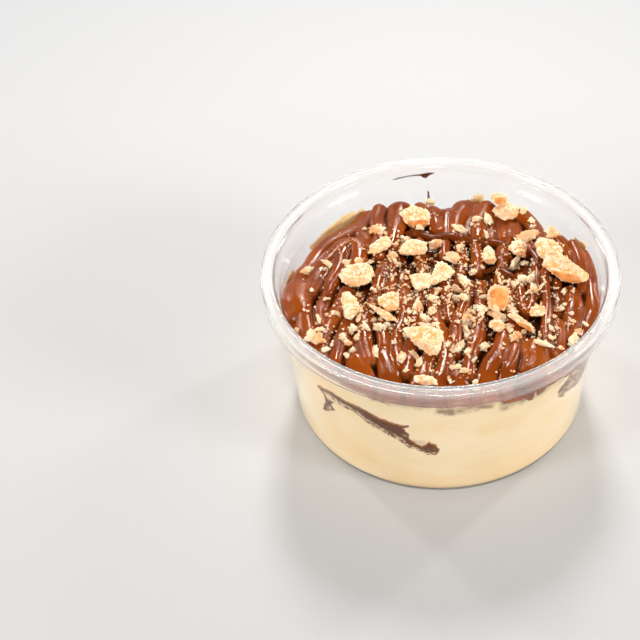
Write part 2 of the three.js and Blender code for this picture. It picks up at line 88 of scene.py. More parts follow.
def meshPiece(name, places, faces):
    mesh = bpy.data.meshes.new(name)
    mesh.from_pydata([tuple(p) for p in places], [], [tuple(int(i) for i in f) for f in faces])
    mesh.validate()
    piece = bpy.data.objects.new(name, mesh)
    bpy.context.scene.collection.objects.link(piece)
    return piece


def faceOutwards(piece):
    editAll(piece)
    bpy.ops.mesh.remove_doubles(threshold=mergeGap)
    bpy.ops.mesh.normals_make_consistent(inside=False)
    leaveEdit()


def finishPiece(piece, name, material, replaced=(), faceted=False):
    piece.name = name
    piece.data.name = name
    piece.data.materials.clear()
    piece.data.materials.append(material)
    makeActive(piece)
    bpy.ops.object.transform_apply(location=True, rotation=True, scale=True)
    if faceted:
        bpy.ops.object.shade_flat()
    else:
        bpy.ops.object.shade_smooth()
    deselectAll()
    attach(piece, "root")
    if replaced:
        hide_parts(*replaced)


def smoothStep(value, low, high):
    t = np.clip((value - low) / (high - low), 0, 1)
    return t * t * (3 - 2 * t)


def alongTable(table, at):  # runs smoothly from one row of the table to the next
    at = np.asarray(at, float)
    out = np.full(at.shape, float(table[0][1]))
    for (low, start), (high, end) in zip(table, table[1:]):
        part = at > low
        out[part] = start + (end - start) * smoothStep(at[part], low, high)
    return out


def softNoise(x, y, seed):  # smooth random hills between -1 and 1, about one unit wide
    lattice = np.random.default_rng(seed).random((latticeSize, latticeSize)) * 2 - 1
    x0, y0 = np.floor(x).astype(int), np.floor(y).astype(int)
    u, v = x - x0, y - y0
    u, v = u * u * (3 - 2 * u), v * v * (3 - 2 * v)
    x0, y0 = x0 % latticeSize, y0 % latticeSize
    x1, y1 = (x0 + 1) % latticeSize, (y0 + 1) % latticeSize
    low = lattice[x0, y0] * (1 - u) + lattice[x1, y0] * u
    high = lattice[x0, y1] * (1 - u) + lattice[x1, y1] * u
    return low * (1 - v) + high * v


def layered(x, y, layers):  # sum of noises, each with its strength, width, length and seed
    return sum(strength * softNoise(x / width, y / length, seed) for strength, width, length, seed in layers)


def fromFront(x, y):  # angle about the upright axis in degrees, 0 at the front
    return np.degrees(np.arctan2(x, -y))


def aboutAxis(turn, out, z):  # places at an angle from the front in radians, a radius and a height
    return np.stack([np.sin(turn) * out, -np.cos(turn) * out, z], 1)


# camera, lights, floor

eye = (0, -263.4, 286.5)  # camera in mm
view = {
    "downDegrees": 44.18,
    "rollDegrees": 0.40,
    "lens": 60.33,
    "sensor": 36,
    "shift": -0.188,
    "nearest": 0.01,
}


def buildCamera():
    cameraData = bpy.data.cameras.new("camera")
    cameraData.lens = view["lens"]
    cameraData.sensor_width = view["sensor"]
    cameraData.shift_x = view["shift"]
    cameraData.clip_start = view["nearest"]
    camera = bpy.data.objects.new("camera", cameraData)
    camera.location = [v * mm for v in eye]
    look = Euler((math.radians(90 - view["downDegrees"]), 0, 0)).to_matrix()
    roll = Euler((0, 0, math.radians(view["rollDegrees"]))).to_matrix()
    camera.rotation_euler = (look @ roll).to_euler()
    bpy.context.scene.collection.objects.link(camera)
    bpy.context.scene.camera = camera


warm = (1, 0.985, 0.965)
lights = {  # place, height of the aim, size across and along, watts, colour
    "backTop": ((-0.02, 0.62, 0.64), 0.04, (0.16, 0.22), 5.2, (1, 0.99, 0.975)),
    "backLeft": ((-0.62, 0.56, 0.40), 0.04, (0.08, 0.36), 2.2, warm),
    "backRight": ((0.62, 0.56, 0.36), 0.04, (0.08, 0.32), 2.2, warm),
    "frontLeft": ((-0.95, -0.50, 0.34), 0.03, (0.30, 0.26), 7.8, warm),
    "frontRight": ((0.98, -0.44, 0.34), 0.03, (0.30, 0.26), 8.8, warm),
    "above": ((0.06, -0.42, 0.86), 0.03, (0.14, 0.12), 2.8, warm),
}
room = {
    "sky": (1.0, 0.975, 0.94), "strength": 0.13, "floorSize": 6, "floor": (0.55, 0.55, 0.555),
    "backdrop": (0.74, 0.74, 0.74), "fade": (0.20, 0.50),  # where the floor runs into the backdrop
}


def buildLights():
    for name, (place, aim, size, power, colour) in lights.items():
        lightData = bpy.data.lights.new(name, "AREA")
        lightData.shape = "RECTANGLE"
        lightData.size, lightData.size_y = size
        lightData.energy = power
        lightData.color = colour
        light = bpy.data.objects.new(name, lightData)
        light.location = place
        light.rotation_euler = (Vector((0, 0, aim)) - Vector(place)).to_track_quat("-Z", "Y").to_euler()
        bpy.context.scene.collection.objects.link(light)


class Tree:  # shorthand for the nodes of a material or of the world
    def __init__(self, owner, output):
        owner.use_nodes = True
        self.owner = owner
        self.nodes = owner.node_tree.nodes
        self.output = self.nodes[output]

    def feed(self, socket, value):  # links a socket, or sets its number, vector or colour
        if isinstance(value, bpy.types.NodeSocket):
            self.owner.node_tree.links.new(value, socket)
        elif socket.type == "RGBA":
            socket.default_value = (*value, 1)
        else:
            socket.default_value = value

    def add(self, kind, inputs=(), **fields):
        node = self.nodes.new("ShaderNode" + kind)
        for name, value in fields.items():
            setattr(node, name, value)
        for key, value in dict(inputs).items():
            self.feed(node.inputs[key], value)
        return node

    def maths(self, operation, first, second):
        return self.add("Math", {0: first, 1: second}, operation=operation).outputs["Value"]

    def eitherRay(self, first, second):
        rays = self.add("LightPath").outputs
        return self.maths("MAXIMUM", rays[f"Is {first} Ray"], rays[f"Is {second} Ray"])

    def mixShaders(self, factor, first, second):
        return self.add("MixShader", {0: factor, 1: first.outputs[0], 2: second.outputs[0]})

    def show(self, shader):
        self.feed(self.output.inputs["Surface"], shader.outputs[0])


class Finish(Tree):  # a material and its main shader
    def __init__(self, name):
        super().__init__(bpy.data.materials.new(name), "Material Output")
        self.shader = self.nodes["Principled BSDF"]
        self.place = self.add("TexCoord").outputs["Object"]

    def set(self, **values):
        for name, value in values.items():
            self.feed(self.shader.inputs[name.replace("_", " ")], value)

    def noise(self, scale, detail=3, roughness=0.5, place=None):
        inputs = {"Vector": place or self.place, "Scale": scale, "Detail": detail, "Roughness": roughness}
        return self.add("TexNoise", inputs).outputs["Fac"]

    def stretch(self, scale, turn):
        return self.add("Mapping", {"Vector": self.place, "Scale": scale, "Rotation": turn}).outputs["Vector"]

    def ramp(self, source, stops):
        node = self.add("ValToRGB", {"Fac": source})
        elements = node.color_ramp.elements
        while len(elements) < len(stops):
            elements.new(0.5)
        for element, (position, colour) in zip(elements, stops):
            element.position = position
            element.color = (*colour, 1)
        return node.outputs["Color"]

    def span(self, source, low, high, toLow=0.0, toHigh=1.0):
        inputs = {"Value": source, "From Min": low, "From Max": high, "To Min": toLow, "To Max": toHigh}
        return self.add("MapRange", inputs).outputs["Result"]

    def blend(self, factor, first, second):
        inputs = {"Factor": factor, "A": first, "B": second}
        return self.add("Mix", inputs, data_type="RGBA").outputs["Result"]

    def attribute(self, name, share=1):
        value = self.add("Attribute", attribute_name=name).outputs["Fac"]
        return value if share == 1 else self.maths("MULTIPLY", value, share)

    def bump(self, height, distance, strength):
        node = self.add("Bump", {"Height": height, "Distance": distance, "Strength": strength})
        self.set(Normal=node.outputs["Normal"])


def buildWorld():  # dim sky for the light, and a pale backdrop for what the camera sees
    world = bpy.data.worlds.new("room")
    tree = Tree(world, "World Output")
    sky = tree.nodes["Background"]
    tree.feed(sky.inputs["Color"], room["sky"])
    tree.feed(sky.inputs["Strength"], room["strength"])
    backdrop = tree.add("Background", {"Color": room["backdrop"]})
    tree.show(tree.mixShaders(tree.eitherRay("Camera", "Transmission"), sky, backdrop))
    bpy.context.scene.world = world
    bpy.context.scene.view_settings.view_transform = "Standard"


def buildFloor():
    deselectAll()
    bpy.ops.mesh.primitive_plane_add(size=room["floorSize"], location=(0, 0, 0))
    floor = bpy.context.object
    floor.name = "floor"
    tree = Finish("paleFloor")
    tree.set(Base_Color=room["floor"], Roughness=0.7)
    distance = tree.add("VectorMath", {0: tree.place}, operation="LENGTH").outputs["Value"]
    seen = tree.eitherRay("Camera", "Transmission")
    faded = tree.maths("MULTIPLY", tree.span(distance, *room["fade"]), seen)
    backdrop = tree.add("Emission", {"Color": room["backdrop"]})
    tree.show(tree.mixShaders(faded, tree.shader, backdrop))
    floor.data.materials.append(tree.owner)


buildCamera()
buildLights()
buildWorld()
buildFloor()
print("scene: camera, lights and floor")


# cup

cupShape = {
    "height": 57.4, "rimRadius": 58.5, "lipRadius": 54.85, "neckRadius": 54.05, "neckInset": 0.45,
    "wallTopRadius": 53.25, "wallTopHeight": 49.5, "shoulderRise": 2.2, "wall": 0.6, "skirtBottom": 51.5,
    "footRadius": 51.15, "heelRadius": 4.3, "panelRise": 1.2, "footRingWidth": 3, "sides": 160,
}
# milky white layer on two height bands of the rim: partly the plastic's own haze, partly painted reflection
# of the white surroundings
milkySheenBands = [(0.0510, 0.0525, 0.07), (0.0550, 0.0562, 0.12)]  # from and to height in metres, strength


def clearPlastic():
    tree = Finish("clearPlastic")
    tree.set(Base_Color=(0.985, 0.99, 0.99), Roughness=0.07, IOR=1.24, Transmission_Weight=1.0)
    tree.set(Coat_Weight=0.3, Coat_IOR=1.5)
    # diffuse white layer: haze of the plastic and painted reflection on the rim
    milkySheen = tree.add("BsdfPrincipled", {"Base Color": (0.93, 0.90, 0.87), "Roughness": 0.35})
    height = tree.add("SeparateXYZ", {0: tree.place}).outputs["Z"]
    veil = tree.maths("ADD", *[tree.span(height, low, high, 0.0, most) for low, high, most in milkySheenBands])
    hazeAndSheen = tree.mixShaders(veil, tree.shader, milkySheen)
    through = tree.add("BsdfTransparent", {"Color": (0.97, 0.98, 0.98)})
    tree.show(tree.mixShaders(tree.eitherRay("Shadow", "Diffuse"), hazeAndSheen, through))
    return tree.owner


def arcPoints(centreR, centreZ, radius, fromDegrees, toDegrees, steps):
    turns = np.radians(np.linspace(fromDegrees, toDegrees, steps + 1))
    return [(centreR + radius * math.cos(a), centreZ + radius * math.sin(a)) for a in turns]


def cupOutline():  # from the middle of the foot up the outside, over the lip and down the inside
    c = cupShape
    wall, heel, foot, panel = c["wall"], c["heelRadius"], c["footRadius"], c["panelRise"]
    top, rim, lip, skirt = c["height"], c["rimRadius"], c["lipRadius"], c["skirtBottom"]
    neck, upper, upperZ = c["neckRadius"], c["wallTopRadius"], c["wallTopHeight"]
    ring = foot - heel - c["footRingWidth"]
    outside = [
        (0, panel), (ring - 1.0, panel), (ring - 0.6, panel - 0.25), (ring - 0.2, 0.12), (ring + 0.2, 0),
        *arcPoints(foot - heel, heel, heel, -90, 0, 10), (upper, upperZ), (upper + 0.35, upperZ + 0.75),
        (neck + wall, skirt + 0.2), (neck + wall, top - 2.2),
        *arcPoints(neck + wall + 1.3, top - 2.2, 1.3, 180, 100, 5),
        (rim - 1.7, top - 1.35), *arcPoints(rim - 1.3, top - 1.95, 0.65, 75, 5, 4),
        (rim - 0.62, skirt + 0.3), *arcPoints(rim - 0.35, skirt + 0.3, 0.3, 190, 350, 6),
        (rim - 0.05, top - 1.5), *arcPoints(rim - 0.7, top - 1.45, 0.65, 0, 82, 6),
        (rim - 1.0, top - 0.95), (rim - 1.25, top - 0.78), (lip + 1.5, top - 0.62), (lip + 1.2, top - 0.36),
        *arcPoints(lip + 0.45, top - 0.5, 0.5, 70, 175, 7),
    ]
    upper -= wall
    inside = [
        (neck + 0.12, top - 2.3), (neck + 0.05, top - 2.3), (neck - 0.18, top - 2.6),
        (neck - 0.12, top - 3.1), (neck - 0.05, top - 4.8), (neck - 0.38, top - 5.2), (neck - 0.42, skirt),
        (upper + 0.05, upperZ + 0.2), (upper - 0.06, upperZ - 2.5), (upper - 0.28, upperZ - 2.8),
        (upper - 0.16, upperZ - 3.4),
        *arcPoints(foot - heel, panel + heel, heel - wall, 0, -90, 8), (0, panel + wall),
    ]
    return outside + inside


def wallInside(z):  # radius of the wall's inner face at a height, in mm
    c = cupShape
    z = np.asarray(z, float)
    slope = (c["wallTopRadius"] - c["footRadius"]) / (c["wallTopHeight"] - c["heelRadius"])
    radius = c["footRadius"] + slope * (z - c["heelRadius"]) - c["wall"]
    over = np.clip((z - c["wallTopHeight"]) / c["shoulderRise"], 0, 1)
    radius = radius + over * (c["neckRadius"] - c["wallTopRadius"] + c["wall"])
    return np.minimum(radius, c["neckRadius"] - c["neckInset"])


def keepInside(places):  # presses what would pass through the wall against its inner face, in mm
    away = np.hypot(places[:, 0], places[:, 1])
    fit = np.minimum(1, (wallInside(places[:, 2]) - 0.2) / np.maximum(away, 0.01))
    return places * np.stack([fit, fit, np.ones(len(fit))], 1)


def spun(name, outline, sides):  # turns an outline of (radius, height) in mm about the upright axis
    piece = meshPiece(name, [(r * mm, 0, z * mm) for r, z in outline], [])
    piece.data.edges.add(len(outline) - 1)
    for i, edge in enumerate(piece.data.edges):
        edge.vertices = (i, i + 1)
    editAll(piece)
    bpy.ops.mesh.spin(steps=sides, angle=2 * pi, center=(0, 0, 0), axis=(0, 0, 1))
    leaveEdit()
    faceOutwards(piece)
    return piece


cup = spun("clearCup", cupOutline(), cupShape["sides"])
finishPiece(cup, "clearCup", clearPlastic(), ["cup"])
print("scene: cup")


# chocolate topping

chartLevel = 44.5  # height in mm of the chart that the topping is laid out on
levelAlongY = [[-53, 45.2], [-10, 43.9], [18, 42.2], [53, 38.6]]
heaps = [(-37, -33, 2.2, 13), (47, 20, 3.6, 12), (-52, 18, -3.6, 8)]  # place, rise, reach
seamByAngle = [  # lower edge of the chocolate on the wall
    [-180, 36.5], [-150, 35.5], [-120, 36], [-92, 41], [-62, 45.6], [-30, 45.6], [-25, 45.2], [-22, 44.3],
    [-19, 44.2], [-16.5, 45.3], [-2, 45.5], [17, 45.5], [20, 44.7], [22, 42.8], [29, 42.0], [31.4, 40.0],
    [32.8, 39.8], [33.8, 43.6], [34.6, 40.8], [37, 40.8], [39, 42], [45, 41.4], [51, 39.6], [60, 38.6],
    [80, 38.5], [110, 41], [150, 38.5], [180, 36.5],
]
topping = {
    "gridSteps": 290,  # squares across the surface
    "wallLevel": 44.0,
    "reachIntoWall": 0.15,
    "roundness": 0.90,  # drop from crest to side, as a share of the half width
    "squareness": 2.15,  # 2 for a round section, more for a flatter crest
    "widen": 1.08,
    "softness": 0.14,  # rounding of the creases between strands
    "base": -1.1,  # under the level between the strands
    "frontDip": 1.8,
    "overSeam": 1.0,
}
toppingNoise = {  # strength, width, length, seed
    "warpX": [(0.55, 6.5, 11, 21), (0.05, 2.4, 5, 22)],
    "warpY": [(0.55, 6.5, 9, 23)],
    "base": [(0.7, 2.2, 3.5, 24)],
    "seam": [(0.35, 3, 1, 31), (0.18, 0.9, 1, 32)],
}

# half width and rise from first to last point, and points on the chart
strands = [
    ((3.0, 2.6), (5.4, 3.0), [(-22.6, 44.5), (-23.2, 39), (-22, 32), (-21.6, 25), (-22, 19)]),
    ((4.6, 4.2), (3.8, 2.8), [(-25.6, 40), (-28.4, 36.5), (-30.5, 32.5)]),
    ((3.4, 3.0), (3.8, 3.0),

     [(-49, 2), (-46.6, 9), (-43, 18), (-38.5, 26), (-33, 31.6), (-29.4, 32.6), (-27.2, 29.5), (-26.6, 23)]),
    ((3.2, 2.8), (3.6, 2.8),

     [(-44, 0), (-42.2, 8), (-39, 16.5), (-35, 23.5), (-31.2, 26.6), (-28.9, 24.5), (-28.6, 18), (-29, 13)]),
    ((2.4, 2.2), (2.8, 2.6), [(-33, 21.5), (-35, 15), (-37, 7), (-38.4, 1)]),
    ((5.6, 5.0), (3.6, 3.4), [(-47.5, 2), (-47.8, -3), (-46.2, -8)]),
    ((3.6, 3.6), (3.0, 3.0), [(-44.5, -11), (-43.6, -17), (-42, -24)]),
    ((2.0, 2.2), (2.6, 3.0), [(-36, 5), (-37.6, -1), (-39, -8), (-38.8, -15)]),
    ((2.5, 2.8), (2.8, 3.2), [(-31, 0), (-33.4, -8), (-36, -16), (-37.8, -24), (-38.2, -29)]),
    ((2.2, 2.4), (1.8, 2.6), [(-27, -2), (-28.8, -12), (-31.6, -22), (-33.4, -31)]),
    ((2.2, 2.6), (2.6, 3.2), [(-20, 14), (-21, 4), (-22.5, -5), (-24.4, -14), (-24.2, -22), (-22, -30)]),
    ((3.0, 4.4), (1.0, 1.8), [(-28, -17), (-27.2, -24), (-25.6, -30)]),
    ((3.4, 3.8), (2.6, 2.8), [(-26.4, -31), (-24, -36), (-22.6, -41)]),
    ((2.2, 2.4), (2.4, 2.8), [(-17.5, 14), (-17, 4), (-17.6, -6), (-18.6, -16), (-17.6, -25)]),
    ((2.2, 2.4), (2.6, 3.2), [(-12.6, 9), (-12, -2), (-12.2, -12), (-14, -20), (-14, -28), (-12.8, -34)]),
    ((3.0, 3.8), (2.8, 3.4), [(-17.6, -28), (-16, -35), (-15.2, -43)]),
    ((2.2, 2.4), (2.2, 2.8), [(-7, 0), (-8, -8), (-8.6, -16), (-9.6, -26), (-10.4, -37)]),
    ((2.8, 3.2), (2.8, 3.4), [(-2.8, -28), (-5, -35), (-7.2, -44)]),
    ((2.2, 3.0), (2.4, 3.4), [(-3, 0), (-1.6, -10), (0.5, -20), (1.8, -28), (0.5, -36), (-1.6, -44)]),
    ((2.0, 2.0), (2.4, 2.4), [(1.6, 12), (2, 3), (2.4, -6), (2.8, -13)]),
    ((2.0, 2.2), (2.6, 2.8), [(9.4, 4), (7.6, -5), (5.6, -13), (4.8, -21), (4.2, -28)]),
    ((3.6, 4.0), (2.6, 3.0), [(5.4, -37), (5.6, -45)]),
    ((2.2, 2.4), (2.4, 2.8), [(13.4, 4), (12.6, -7), (12, -16), (10.8, -24), (9, -31), (8.6, -38)]),
    ((2.2, 2.0), (2.4, 2.4), [(21.5, 23), (21.3, 16), (20.4, 8), (18.4, 0), (17, -8)]),
    ((3.2, 4.6), (3.2, 3.4), [(20.6, -20), (18.6, -27), (15.8, -34), (13.6, -43)]),
    ((2.2, 2.6), (2.8, 3.4), [(25, -21), (23, -29), (20.8, -36), (20, -42)]),
    ((1.4, 1.8), (1.6, 2.0), [(27, -23), (25.4, -29), (23.6, -36)]),
    ((5.0, 5.8), (4.4, 4.8), [(31, -25), (31.2, -29), (30.4, -33.5)]),
    ((1.6, 1.8), (3.4, 4.2), [(35.6, 11), (35.4, 2), (35.2, -6), (35.4, -12)]),
    ((1.9, 4.4), (3.2, 3.6), [(35.4, -12), (35.8, -18), (36.8, -24), (36.8, -26)]),
    ((1.5, 1.5), (4.5, 4.8),
     [(35.2, -6), (34.6, -14), (34.5, -21), (35.2, -26), (36.8, -28.2), (38.2, -25.6), (38.9, -20),
      (38.3, -14)]),
    ((3.8, 3.6), (3.2, 3.4), [(44.2, 1), (44.6, -6), (43.4, -13), (41.4, -21)]),
    ((2.4, 2.6), (2.8, 3.2), [(50.4, 20), (51.2, 11), (51.2, 2), (50.4, -7), (48.4, -14), (45, -22)]),
    ((1.6, 1.6), (2.6, 2.4),
     [(26.6, 8), (26.5, 1), (27.2, -6), (28.7, -9), (30, -5), (30.2, 2), (30.6, 8)]),
    ((1.7, 1.8), (2.4, 2.4), [(39.4, 5), (39.4, -3), (38.8, -10)]),
    ((2.0, 2.0), (2.2, 2.2), [(23.6, 6), (23, -3), (23.6, -12), (25, -19)]),
    ((5.0, 2.8), (6.4, 3.0), [(-15.4, 45), (-16, 40), (-17, 32), (-17.4, 23)]),
    ((3.0, 2.6), (5.0, 3.2), [(-7.6, 46), (-8.4, 40), (-9, 33)]),
    ((2.8, 2.4), (4.6, 2.8), [(-2.5, 44), (-2, 38), (-1, 32)]),
    ((5.2, 2.8), (6.0, 3.0), [(8.6, 47), (7, 42), (5.2, 36), (4.6, 30)]),
    ((4.4, 2.8), (6.2, 3.0), [(17, 47), (14.8, 42), (13.6, 36), (13, 29)]),
    ((4.2, 3.6), (4.6, 2.2), [(12.6, 46), (10.6, 39), (9.2, 30)]),
    ((4.0, 3.4), (4.4, 2.2), [(20, 44), (18.4, 37), (17.6, 29)]),
    ((4.0, 3.6), (4.4, 2.2), [(26, 43), (25.6, 36), (25.2, 29)]),
    ((3.4, 3.0), (4.2, 2.2), [(2, 42), (1.8, 36), (1.6, 30)]),
    ((3.2, 2.8), (4.0, 3.0), [(22, 43), (22, 36), (22.6, 29)]),
    ((3.2, 2.6), (6.0, 3.2), [(29.6, 42), (32.6, 38), (34.4, 33.5), (35, 28)]),
    ((2.2, 2.2), (3.0, 2.8), [(27.6, 36), (28, 30), (29, 24)]),
    ((2.2, 2.2), (3.6, 3.0), [(40, 31), (43.4, 26.5), (45, 20), (45.4, 14)]),
    ((1.7, 2.0), (4.4, 3.0), [(46.6, 26), (48.2, 19), (48.6, 10), (48, 2)]),
    ((1.8, 1.8), (2.6, 2.4), [(6.6, 26), (7.4, 18), (7.4, 11), (5.6, 4)]),
    ((1.8, 1.8), (2.4, 2.2), [(1.6, 25), (1.4, 18)]),
    ((2.2, 2.0), (2.4, 2.2), [(12, 24), (12.6, 17), (12.4, 11)]),
    ((2.2, 2.0), (2.4, 2.2), [(-8, 26), (-7, 15), (-6.6, 7)]),
    ((2.0, 2.0), (2.4, 2.2), [(33.4, 22), (33, 12), (32, 4), (31.6, -2)]),
]


def glossyChocolate():
    tree = Finish("glossyChocolate")
    shades = [(0.3, (0.20, 0.035, 0.0022)), (0.55, (0.275, 0.052, 0.0038)), (0.75, (0.35, 0.075, 0.006))]
    # painted shade: the colour runs to near black in the creases and low gaps between the strands
    colour = tree.blend(tree.attribute("paintedShadeAndTone"), tree.ramp(tree.noise(90), shades), (0.055, 0.0105, 0.0016))
    rough = tree.span(tree.noise(500, 3, 0.6), 0.3, 0.7, 0.05, 0.10)
    tree.set(Base_Color=colour, Roughness=rough, IOR=1.45, Specular_IOR_Level=0.21)
    grit = tree.maths("MULTIPLY", tree.noise(1900, 3, 0.6), tree.span(tree.noise(130), 0.42, 0.62))
    tree.bump(grit, 0.00022, 0.7)
    return tree.owner


def levelBetween(x, y):  # level of the chocolate between its strands
    level = alongTable(levelAlongY, y)
    for heapX, heapY, rise, reach in heaps:
        level = level + rise * np.exp(-((x - heapX) ** 2 + (y - heapY) ** 2) / (2 * reach ** 2))
    return level


def levelAt(x, y):
    return float(levelBetween(np.array(x), np.array(y)))


def fromChart(x, y, z):  # moves a chart point along the line of sight to a height
    stretch = (eye[2] - z) / (eye[2] - chartLevel)
    return x * stretch, eye[1] + (y - eye[1]) * stretch, z


def curveThrough(points, steps):  # smooth curve through points, by rows of coordinates
    points = np.asarray(points, float)
    padded = np.vstack([2 * points[0] - points[1], points, 2 * points[-1] - points[-2]])
    out = []
    for i in range(1, len(padded) - 2):
        a, b, c, d = padded[i - 1:i + 3]
        for t in np.arange(steps) / steps:
            bend = (2 * a - 5 * b + 4 * c - d) * t * t + (3 * b - a - 3 * c + d) * t ** 3
            out.append(0.5 * (2 * b + (c - a) * t + bend))
    out.append(padded[-2])
    return np.array(out)


def layStrand(half, rise, path):
    rows = []
    for i, (x, y) in enumerate(path):
        share = i / (len(path) - 1)
        level = levelAt(x, y) + rise[0] + (rise[1] - rise[0]) * share
        rows.append((*fromChart(x, y, level), half[0] + (half[1] - half[0]) * share))
    return curveThrough(rows, 4)


def strandField(x, y, rows, seed):  # height of one strand above the points near it
    best = np.full(x.shape, 1e9)
    side, along, crest, width = (np.zeros(x.shape) for _ in range(4))
    run = 0.0
    for a, b in zip(rows, rows[1:]):
        dx, dy = b[0] - a[0], b[1] - a[1]
        length = math.hypot(dx, dy)
        t = np.clip(((x - a[0]) * dx + (y - a[1]) * dy) / length ** 2, 0, 1)
        away = np.hypot(x - a[0] - t * dx, y - a[1] - t * dy)
        near = away < best
        best[near] = away[near]
        side[near] = np.sign((x - a[0]) * dy - (y - a[1]) * dx)[near]
        along[near] = (run + t * length)[near]
        crest[near] = (a[2] + (b[2] - a[2]) * t)[near]
        width[near] = (a[3] + (b[3] - a[3]) * t)[near]
        run += length
    swell = 0.14 * softNoise(along / 5.0, along * 0 + seed, 11)
    width = width * topping["widen"] * (1 + swell)
    share = np.clip(best / width, 0, 1)
    power = topping["squareness"]
    drop = width * topping["roundness"] * (1 - (1 - share ** power) ** (1 / power))
    drop = drop + np.maximum(best - width, 0) * 4
    lean = 0.10 * softNoise(along / 8.0, along * 0 + seed * 2.3, 14) * side * best
    ripple = 0.014 * softNoise(side * best / 1.6 + seed * 3.7, along / 9.0, 12) * (1 - share ** 4)
    wander = 0.35 * softNoise(along / 7.0, along * 0 + seed * 1.9, 13)
    return crest - drop + lean + ripple + wander


def chocolateTop(x, y):  # height of the chocolate's surface, in mm
    warpX = x + layered(x, y, toppingNoise["warpX"])
    warpY = y + layered(x, y, toppingNoise["warpY"])
    top = levelBetween(x, y) + layered(x, y, toppingNoise["base"]) + topping["base"]
    soft = topping["softness"]
    for seed, rows in enumerate(laidStrands):
        reach = rows[:, 3].max() * 1.6 + 1.5
        low, high = rows[:, :2].min(0) - reach, rows[:, :2].max(0) + reach
        part = (warpX > low[0]) & (warpX < high[0]) & (warpY > low[1]) & (warpY < high[1])
        if not part.any():
            continue
        height = strandField(warpX[part], warpY[part], rows, seed)
        blendUp = np.maximum(soft - np.abs(height - top[part]), 0) ** 2 / (4 * soft)
        top[part] = np.maximum(height, top[part]) + blendUp
    return top


scattered = [  # strands laid at random: fine ones on top, and low ones that fill the gaps
    {"count": 5, "half": (0.8, 1.3), "rise": (2.2, 3.2), "length": (9, 20), "reach": 40, "seed": 5},
    {"count": 60, "half": (1.4, 2.4), "rise": (-1.2, 0.4), "length": (7, 15), "reach": 50, "seed": 6},
]
scatterEdge = 50  # radius in mm that their ends stay in


def layScattered(spec):
    rng = np.random.default_rng(spec["seed"])
    rows = []
    for _ in range(spec["count"]):
        x, y = rng.uniform(-1, 1, 2) * spec["reach"]
        length, half, rise = (rng.uniform(*spec[k]) for k in ("length", "half", "rise"))
        lean = -x * 0.12 / 40 + rng.normal(0, 0.12)
        bend = rng.normal(0, 1.0)
        if math.hypot(x, y) + length * 0.3 > scatterEdge:
            continue
        path = [
            (x + lean * length * (s - 0.5) + bend * math.sin(s * pi), y - length * (s - 0.5))
            for s in np.linspace(0, 1, 4)
        ]
        rows.append(layStrand((half, half), (rise, rise), path))
    return rows


laidStrands = [layStrand(*strand) for strand in strands]
for spec in scattered:
    laidStrands += layScattered(spec)

mapStep, mapReach = 0.22, 54
mapLine = np.arange(-mapReach, mapReach + mapStep, mapStep)


def smoothed(grid, cells):
    for axis in (0, 1, 0, 1):
        margin = [(cells, cells) if a == axis else (0, 0) for a in (0, 1)]
        total = np.cumsum(np.pad(grid, margin, mode="edge"), axis=axis)
        size = total.shape[axis]
        ahead = np.take(total, range(2 * cells, size), axis)
        behind = np.take(total, range(size - 2 * cells), axis)
        grid = (ahead - behind) / (2 * cells)
    return grid


heightMap = chocolateTop(*np.meshgrid(mapLine, mapLine))
# the crease map sets where painted shade darkens the gaps between strands
creaseMap = smoothed(heightMap, 6) - heightMap  # above zero in the gaps between strands


def fromMap(grid, x, y):  # value of a map at points between its own
    most = len(mapLine) - 1.001
    column = np.clip((np.asarray(x) + mapReach) / mapStep, 0, most)
    row = np.clip((np.asarray(y) + mapReach) / mapStep, 0, most)
    c, r = column.astype(int), row.astype(int)
    u, v = column - c, row - r
    near = grid[r, c] * (1 - u) + grid[r, c + 1] * u
    far = grid[r + 1, c] * (1 - u) + grid[r + 1, c + 1] * u
    return near * (1 - v) + far * v


def onDisc(square):  # rings of a square become rings of a disc
    u, v = square[:, 0], square[:, 1]
    upright = np.abs(v) > np.abs(u)
    ring = np.where(upright, v, u)
    turn = pi / 4 * np.where(upright, u, v) / np.where(np.abs(ring) > 1e-9, ring, 1)
    sine, cosine = ring * np.sin(turn), ring * np.cos(turn)
    return np.where(upright, sine, cosine), np.where(upright, cosine, sine)


def toppingSurface(discX, discY):
    radius = wallInside(topping["wallLevel"]) + topping["reachIntoWall"]
    x, y = discX * radius, discY * radius
    rho = np.hypot(discX, discY)
    front = smoothStep(-y / np.maximum(np.hypot(x, y), 1), 0.1, 0.6)
    z = chocolateTop(x, y) - topping["frontDip"] * front * smoothStep(rho, 0.78, 1)
    aboveSeam = alongTable(seamByAngle, fromFront(x, y)) + topping["overSeam"]
    z = z + smoothStep(rho, 0.94, 1) * np.maximum(aboveSeam - z, 0)
    fit = (wallInside(z) + topping["reachIntoWall"]) / radius
    fit = 1 + (fit - 1) * smoothStep(rho, 0.9, 1)
    return np.stack([x * fit, y * fit, z], 1)


def closeUnder(piece, edge):  # runs the edge down the wall and closes the underside
    editAll(piece)
    bpy.ops.mesh.select_all(action="DESELECT")
    leaveEdit()
    for i in np.nonzero(edge)[0]:
        piece.data.vertices[int(i)].select = True
    bpy.ops.object.mode_set(mode="EDIT")
    bpy.ops.mesh.select_mode(type="VERT")
    bpy.ops.mesh.extrude_region_move(TRANSFORM_OT_translate={"value": (0, 0, -3 * mm)})
    bpy.ops.mesh.extrude_region_move(TRANSFORM_OT_translate={"value": (0, 0, -1 * mm)})
    bpy.ops.mesh.merge(type="CENTER")
    leaveEdit()


